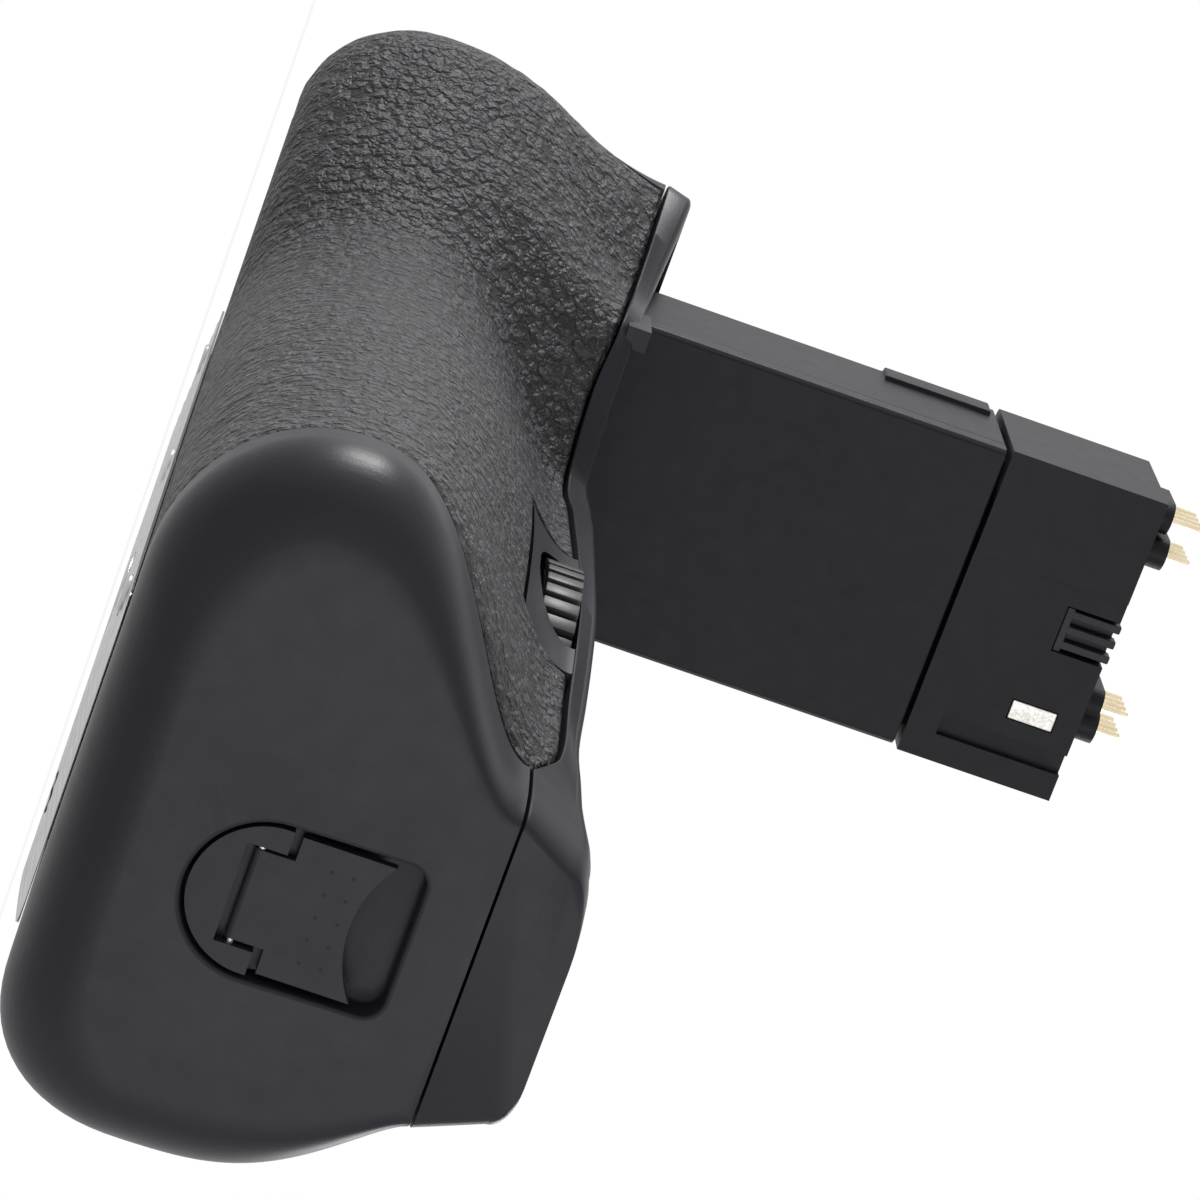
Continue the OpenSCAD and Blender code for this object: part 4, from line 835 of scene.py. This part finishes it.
# Width of each bevel, in mm.
EDGE = {"stalk_tub": 0.3, "stalk_lid": 0.15, "stalk_head": 0.2, "rib_comb": 0.25, "side_contact": 0.15,
        "front_pin_block": 0.25, "rear_pin_block": 0.25, "knob_base": 0.35, "fold_handle": 0.3,
        "battery_tray": 0.2, "battery_chamber": 0.15, "mouth_frame": 0.15, "terminal_block": 0.12,
        "terminal_blades": 0.12, "tray_contacts": 0.08, "main_board": 0.1, "control_board": 0.1,
        "rear_board": 0.1, "latch_shaft": 0.2, "latch_cam": 0.2, "shaft_clip": 0.1, "hinge_pin": 0.08,
        "wheel_bush": 0.15, "wheel_washer": 0.08, "locating_pin": 0.2, "stalk_ribbon": 0.05, "shutter_ring": 0.3,
        "shutter_button": 0.25, "function_button": 0.3, "power_lever": 0.3, "rear_button_a": 0.3,
        "rear_button_b": 0.3, "rear_button_c": 0.3, "dial_axle": 0.1, "dial_bracket": 0.1}
for name, width in EDGE.items():
    edged(name, width)

# %% [markdown]
# ## What repeats
# The wheel's teeth, the dial's ridges, the spring pins, the base screws and the dots on the handle all repeat.
# Two Geometry Nodes trees make them: one sets copies of a piece round a circle and turns each to face outwards,
# the other sets them on a grid. The result is turned into plain mesh, so nothing in it is an instance.

# %% Trees that repeat a piece
def new_tree(name, sizes):
    tree = bpy.data.node_groups.new(name, "GeometryNodeTree")
    face = tree.interface
    face.new_socket("Geometry", in_out="INPUT", socket_type="NodeSocketGeometry")
    for key, kind in sizes.items():
        face.new_socket(key, in_out="INPUT", socket_type="NodeSocket" + kind)
    face.new_socket("Finish", in_out="INPUT", socket_type="NodeSocketMaterial")
    face.new_socket("Geometry", in_out="OUTPUT", socket_type="NodeSocketGeometry")
    return tree, tree.nodes.new("NodeGroupInput"), tree.nodes.new("NodeGroupOutput")


def end_tree(tree, inp, out, points, turn=None):
    """Sets the piece on the points, makes the copies real and gives them their finish."""
    link_up, make = tree.links.new, tree.nodes.new
    kinds = ("InstanceOnPoints", "RealizeInstances", "SetMaterial")
    copies, real, paint = (make("GeometryNode" + kind) for kind in kinds)
    link_up(points, copies.inputs["Points"])
    link_up(inp.outputs["Geometry"], copies.inputs["Instance"])
    if turn:
        link_up(turn, copies.inputs["Rotation"])
    link_up(copies.outputs["Instances"], real.inputs["Geometry"])
    link_up(real.outputs["Geometry"], paint.inputs["Geometry"])
    link_up(inp.outputs["Finish"], paint.inputs["Material"])
    link_up(paint.outputs["Geometry"], out.inputs["Geometry"])
    return tree


def circle_tree():
    tree, inp, out = new_tree("round_a_circle", {"Count": "Int", "Radius": "Float"})
    link_up = tree.links.new
    ring, where, parts, angle, turn = (tree.nodes.new(kind) for kind in (
        "GeometryNodeMeshCircle", "GeometryNodeInputPosition", "ShaderNodeSeparateXYZ", "ShaderNodeMath",
        "ShaderNodeCombineXYZ"))
    angle.operation = "ARCTAN2"
    link_up(inp.outputs["Count"], ring.inputs["Vertices"])
    link_up(inp.outputs["Radius"], ring.inputs["Radius"])
    link_up(where.outputs[0], parts.inputs[0])
    link_up(parts.outputs["Y"], angle.inputs[0])
    link_up(parts.outputs["X"], angle.inputs[1])
    link_up(angle.outputs[0], turn.inputs["Z"])
    return end_tree(tree, inp, out, ring.outputs["Mesh"], turn.outputs[0])


def grid_tree():
    sizes = {"Length": "Float", "Width": "Float", "Columns": "Int", "Rows": "Int"}
    tree, inp, out = new_tree("on_a_grid", sizes)
    grid = tree.nodes.new("GeometryNodeMeshGrid")
    for key, socket in zip(sizes, ("Size X", "Size Y", "Vertices X", "Vertices Y")):
        tree.links.new(inp.outputs[key], grid.inputs[socket])
    return end_tree(tree, inp, out, grid.outputs["Mesh"])


CIRCLE, GRID = circle_tree(), grid_tree()
print("trees:", CIRCLE.name, GRID.name)


# %% [markdown]
# A piece that repeats starts as one seed, turned on a lathe or cut as a small bevelled block. The tree repeats it,
# and the result is moved to its place.

# %% Seeds and copies
def repeat(seed, tree, where, sharp=SHARP, **sizes):
    """Repeats a seed piece with a tree, bakes it and puts the result in place."""
    made = seed.modifiers.new("repeat", "NODES")
    made.node_group = tree
    for item in tree.interface.items_tree:
        if item.in_out == "INPUT" and item.name in sizes:
            made[item.identifier] = sizes[item.name]
    bake(seed, sharp)
    seed.data.transform(where)
    return seed


def revolve(name, profile, steps=96, sharp=SHARP):
    """Turns a closed profile of (radius, z) points round Z. A profile for each step makes a thread."""
    profile = np.asarray(profile, float)
    if profile.ndim == 2:
        profile = np.repeat(profile[None], steps, 0)
    a = 2 * np.pi * np.arange(steps) / steps
    r, z = profile[..., 0], profile[..., 1]
    points = np.stack([r * np.cos(a)[:, None], r * np.sin(a)[:, None], z], -1)
    i = np.arange(points.shape[0] * points.shape[1]).reshape(points.shape[:2])
    n, m = np.roll(i, -1, 0), np.roll(i, -1, 1)
    quads = np.stack([i, n, np.roll(n, -1, 1), m], -1).reshape(-1, 4)
    return piece_from(name, points, quads.tolist(), sharp)


def chamfered(bore, radius, low, high, cut):
    """Profile of a wheel with its two rims cut off."""
    return [(bore, low), (radius - cut, low), (radius, low + cut), (radius, high - cut), (radius - cut, high),
            (bore, high)]


def join(main, *others):
    """Adds the meshes of other pieces to a piece."""
    bm = bmesh.new()
    for o in (main, *others):
        bm.from_mesh(o.data)
    bm.to_mesh(main.data)
    bm.free()
    for o in others:
        bpy.data.objects.remove(o)
    shade(main.data, SHARP)
    return main


def bevelled(piece, width):
    b = piece.modifiers.new("bevel", "BEVEL")
    b.width, b.segments, b.limit_method = width * MM, BEVEL_STEPS, "ANGLE"
    return bake(piece)


def shift(x, y, z):
    return Matrix.Translation(Vector((x, y, z)) * MM)


# %% [markdown]
# The thumbwheel tightens the camera screw. Its rim has broad flat teeth for the finger, with deep grooves
# between them. One bevelled tooth is repeated round a turned disc.

# %% Thumbwheel
WHEEL_Z, WHEEL_T, WHEEL_R, WHEEL_BORE_R = 37.9, 3.6, 17.6, 4.02
TEETH, TEETH_R, TOOTH_X, TOOTH_HALF, TOOTH_BEVEL = 48, 17.88, (-0.5, 0.62), 0.78, 0.12
disc = revolve("thumbwheel_turned", chamfered(WHEEL_BORE_R, WHEEL_R, WHEEL_Z, WHEEL_Z + WHEEL_T, 0.3), 144)
tooth = bevelled(block("tooth", (TOOTH_X[0], -TOOTH_HALF, 0), (TOOTH_X[1], TOOTH_HALF, WHEEL_T)), TOOTH_BEVEL)
teeth = repeat(tooth, CIRCLE, shift(0, 0, WHEEL_Z), Count=TEETH, Radius=TEETH_R * MM,
               Finish=FINISH["case_plastic"])
settle(join(disc, teeth), "thumbwheel")
disc.data.materials[0] = FINISH["wheel_plastic"]

# %% [markdown]
# The spring pins that touch the camera's contacts are pale gold, with round tips. Each row pair is a grid of one
# turned pin. A pin has only a few dozen faces, because there are sixteen of them.

# %% Spring pins
PIN_X, PIN_FOOT, PIN_TIP, PIN_R, PINS_LONG = -71.6, 102.6, 110.2, 0.35, 6
PIN_ROWS = {"front_pins": (-26.2, 4.0), "rear_pins": (-4.3, 2.6)}


def spring_pin(name):
    r, z = PIN_R, PIN_TIP
    tip = [(r * math.cos(t), z - r + r * math.sin(t)) for t in np.radians(np.linspace(0, 90, 5))]
    return revolve(name, [(0, PIN_FOOT), (r, PIN_FOOT), (r, z - 1.5), (r * 0.94, z - 1.45)] + tip, 14, 40)


for name, (y, wide) in PIN_ROWS.items():
    pins = repeat(spring_pin(name + "_turned"), GRID, shift(PIN_X, y, 0), 40, Length=PINS_LONG * MM,
                  Width=wide * MM, Columns=4, Rows=2, Finish=FINISH["gold_contact"])
    settle(pins, name)

# %% [markdown]
# The control dial at the far end is a small knurled wheel on an axle. Its ridges are one rounded bar repeated
# round the rim. The tree works round Z, so the finished dial is turned onto its own axis at the end.

# %% Control dial
DIAL_AT, DIAL_R, DIAL_HALF, DIAL_BORE_R, RIDGES = (-86.6, -11.5, 22), 4.3, 2.5, 1.05, 24
RIDGE, RIDGE_BEVEL = ((-0.2, -0.36, -2.35), (0.4, 0.36, 2.35)), 0.14
dial = revolve("control_dial_turned", chamfered(DIAL_BORE_R, DIAL_R, -DIAL_HALF, DIAL_HALF, 0.25))
ridge = bevelled(block("ridge", *RIDGE), RIDGE_BEVEL)
ridges = repeat(ridge, CIRCLE, shift(0, 0, 0), Count=RIDGES, Radius=DIAL_R * MM, Finish=FINISH["case_plastic"])
join(dial, ridges).data.transform(shift(*DIAL_AT) @ Matrix.Rotation(math.radians(90), 4, "X"))
settle(dial, "control_dial")

# %% [markdown]
# Six cross-head screws hold the base. The cross is cut into one screw before it is repeated.

# %% Base screws
SCREW_PROFILE = [(0, 0.3), (1.7, 0.3), (1.95, 0.5), (2.0, 1.1), (1.0, 1.1), (1.0, 5.0), (0, 5.0)]
SLOT_LONG, SLOT_HALF, SLOT_TOP = 1.2, 0.22, 0.85
screw = revolve("base_screws_turned", SCREW_PROFILE, 32)
carve(screw, [block("slot", (-SLOT_LONG, -SLOT_HALF, 0), (SLOT_LONG, SLOT_HALF, SLOT_TOP)),
              block("slot", (-SLOT_HALF, -SLOT_LONG, 0), (SLOT_HALF, SLOT_LONG, SLOT_TOP))])
settle(repeat(screw, GRID, shift(SCREW_X[1], 0, 0), Length=(SCREW_X[2] - SCREW_X[0]) * MM,
              Width=(SCREW_Y[1] - SCREW_Y[0]) * MM, Columns=3, Rows=2, Finish=FINISH["steel"]), "base_screws")

# %% [markdown]
# The handle has two rows of small raised dots for the fingertip. They are low domes on a grid, turned upright
# and set on the outer face of the flap. They ride with the handle.

# %% Dots on the handle
DOT_R, DOT_TALL, DOT_FOOT, FLAP_X, DOTS_UP = 0.17, 0.05, -0.1, 52.0, 5.6
cap = [(DOT_R * math.cos(t), DOT_TALL * math.sin(t)) for t in np.radians(np.linspace(0, 90, 5))]
dome = revolve("handle_dots", cap + [(0, DOT_FOOT), (DOT_R, DOT_FOOT)], 12, 60)
upright = Matrix(((0, 0, 1, 0), (1, 0, 0, 0), (0, 1, 0, 0), (0, 0, 0, 1)))
repeat(dome, GRID, shift(FLAP_X, KNOB_Y, KNOB_Z + DOTS_UP) @ upright, 60, Length=8.8 * MM, Width=2 * MM,
       Columns=5, Rows=2, Finish=FINISH["case_plastic"])
dome.data.materials.clear()
dome.data.materials.append(FINISH["case_plastic"])
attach(dome, "handle")
print("dots:", len(dome.data.polygons), "faces")

# %% [markdown]
# ## Threads
# The camera screw and the tripod socket have a quarter inch thread. In CAD both are plain at the thread's outer
# radius. A thread is a profile that climbs by one pitch a turn, so each step of the turning has its own profile.

# %% Camera screw
THREAD_R, THREAD_PITCH, TURN_STEPS = 3.175, 1.27, 72
ROD_Z, ROD_TAPER_Z = (44.2, 46.8), 46.1
STEM = [(0, 30.65), (3.8, 30.65), (4.0, 30.85), (4.0, 41.3), (3.8, 41.5), (2.775, 41.5), (2.775, 44.4), (0, 44.4)]


def threaded(z, share, depth):
    """Radius of a V thread at heights z, for one step of the turn."""
    return THREAD_R - depth * np.abs(2 * ((z / THREAD_PITCH - share) % 1) - 1)


z = np.linspace(*ROD_Z, 41)
rods = []
for share in np.arange(TURN_STEPS) / TURN_STEPS:
    r = threaded(z, share, 0.42) - np.clip(z - ROD_TAPER_Z, 0, 1) * 0.7
    rods.append(np.concatenate([[(0, ROD_Z[0])], np.stack([r, z], -1), [(0, ROD_Z[1])]]))
rod = revolve("camera_screw_cut", rods, TURN_STEPS, 60)
settle(join(rod, revolve("stem", STEM)), "camera_screw")

# %% [markdown]
# The tripod socket is the same thread inside out: its wall climbs, and the outside of the insert is plain.

# %% Tripod socket
SOCKET_BACK = [(9.1, 5.1), (9.175, 5.0), (9.175, 3.45), (6.175, 3.45), (6.175, 0.2), (5.95, 0), (3.5, 0),
               (3.3, 0.15)]
z = np.linspace(0.35, 5.1, 55)
walls = []
for share in np.arange(TURN_STEPS) / TURN_STEPS:
    walls.append(np.concatenate([np.stack([threaded(z, share, 0.4), z], -1), SOCKET_BACK]))
settle(revolve("tripod_socket_cut", walls, TURN_STEPS, 40), "tripod_socket")

# %% [markdown]
# ## The base pad
# A thin smooth sheet lies under the base, with long shallow ribs. Its front part and its near end rise gently,
# so a low view catches the light on the ribs. It is lofted along X and open for the socket and the screws.

# %% Base pad
PAD_FAR, PAD_NEAR, PAD_FRONT, PAD_BACK, PAD_TOP = -77.3, 40.0, -14.0, 18.7, 1.1
PAD_R, PAD_HOLE_R, RIB_TALL, RIB_PITCH, PAD_SHARP = 3, 2.1, 0.1, 1.635, 20
# How far in and how high the front part and the near end rise.
FRONT_RISE, FRONT_DEEP, END_RISE, END_DEEP = 0.85, 15, 1.0, 16
y = np.linspace(PAD_FRONT, PAD_BACK, 163)
rib = RIB_TALL * np.abs(np.sin(np.pi * (y - PAD_FRONT) / RIB_PITCH))
rise = FRONT_RISE * np.clip(1 - (y - PAD_FRONT) / FRONT_DEEP, 0, 1)**1.5
corner = PAD_R * (1 - np.cos(np.radians(np.linspace(0, 90, 9))))
x = np.concatenate([PAD_FAR + corner, PAD_NEAR - np.linspace(END_DEEP, 4, 7), PAD_NEAR - corner[::-1]])
rings = []
for at in x:
    inset = float(rounded(min(at - PAD_FAR, PAD_NEAR - at), PAD_R))
    wide = np.interp(y, (PAD_FRONT, PAD_BACK), (PAD_FRONT + inset, PAD_BACK - inset))
    ramp = max(0.0, 1 - (PAD_NEAR - at) / END_DEEP)**1.4
    under = rise + rib + (END_RISE - rise - rib) * ramp
    rings.append([(at, wide[-1], PAD_TOP), (at, wide[0], PAD_TOP)] + [(at, *yz) for yz in zip(wide, under)])
pad = loft("base_pad_sheet", rings, PAD_SHARP)
holes = [drum("socket", (0, 0, 0), "Z", SOCKET_BORE_R, -1, 3)]
holes += [drum("screw", (sx, sy, 0), "Z", PAD_HOLE_R, -1, 3, 32) for sx, sy in SCREWS]
carve(pad, holes, PAD_SHARP)
settle(pad, "base_pad")
pad.data.materials[0] = FINISH["base_pad"]

# %% [markdown]
# ## Light and floor
# The photograph has a white ground and soft light from the front of the body. The world is white where the
# camera and reflections see it and dimmer as a light. The floor is pale and keeps the object's shadow.
# It lies just under the base pad, as a disc that ends before the lamps, so that no lamp leaves a part of it dim.

# %% Floor and world
FLOOR_R, FLOOR_Z, FLOOR_SIDES, FLOOR_WHITE = 800, -0.6, 128, 0.85
WORLD_LIGHT, WORLD_SEEN = 0.2, 1.0


def seen_directly(mat):
    """1 for rays from the camera, a reflection or glass, and 0 for rays that only light."""
    rays = node(mat, "ShaderNodeLightPath").outputs
    direct = maths(mat, "MAXIMUM", rays["Is Camera Ray"], rays["Is Glossy Ray"])
    return maths(mat, "MAXIMUM", direct, rays["Is Transmission Ray"])


mat = bpy.data.materials.new("pale_floor")
mat.use_nodes = True
mat.node_tree.nodes.remove(mat.node_tree.nodes["Principled BSDF"])
tone = mixed(mat, noise(mat, 40, 3), (0.93, 0.93, 0.93), (0.95, 0.95, 0.95))
matte = node(mat, "ShaderNodeBsdfDiffuse", {"Color": tone})
glow = node(mat, "ShaderNodeEmission", {"Color": (1, 1, 1, 1), "Strength": 1.0})
seen = maths(mat, "MULTIPLY", seen_directly(mat), FLOOR_WHITE)
both = node(mat, "ShaderNodeMixShader", {0: seen, 1: matte.outputs[0], 2: glow.outputs[0]})
link(mat, both.outputs[0], mat.node_tree.nodes["Material Output"].inputs["Surface"])
a = circle(FLOOR_SIDES)
rim = np.stack([FLOOR_R * np.cos(a), FLOOR_R * np.sin(a), 0 * a + FLOOR_Z], -1)
ground = piece_from("floor", rim, [list(range(FLOOR_SIDES))])
ground.data.materials.append(mat)

world = bpy.data.worlds.new("studio")
bpy.context.scene.world = world
world.use_nodes = True
strength = between(world, seen_directly(world), 0.0, 1.0, WORLD_LIGHT, WORLD_SEEN)
back_light = world.node_tree.nodes["Background"]
back_light.inputs["Color"].default_value = (1, 1, 1, 1)
link(world, strength, back_light.inputs["Strength"])
print("floor:", 2 * FLOOR_R, "mm across")

# %% [markdown]
# Three soft lamps shape the black plastic. The front one is small, low and to the side, and gives the highlight on
# the cover's rounding. The other two are broad and weaker, and fill the end and the back.

# %% Lamps
def lamp(name, place_m, aim_m, size, watts):
    data = bpy.data.lights.new(name, "AREA")
    data.shape, data.size, data.energy = "DISK", size, watts
    lit = add_object(name, data)
    lit.location = place_m
    lit.rotation_euler = (Vector(aim_m) - Vector(place_m)).to_track_quat("-Z", "Y").to_euler()
    lit.visible_camera = False


# Place and aim in metres, size in metres, and watts.
lamp("front_lamp", (-0.5, -0.82, 0.04), (0, 0, 0.02), 0.26, 11)
lamp("end_lamp", (1.0, 0.2, 0.12), (0, 0, 0.03), 0.6, 3.6)
lamp("back_lamp", (-0.4, 0.7, 0.6), (0, 0, 0.03), 0.6, 6)
bpy.context.scene.view_settings.view_transform = "Standard"
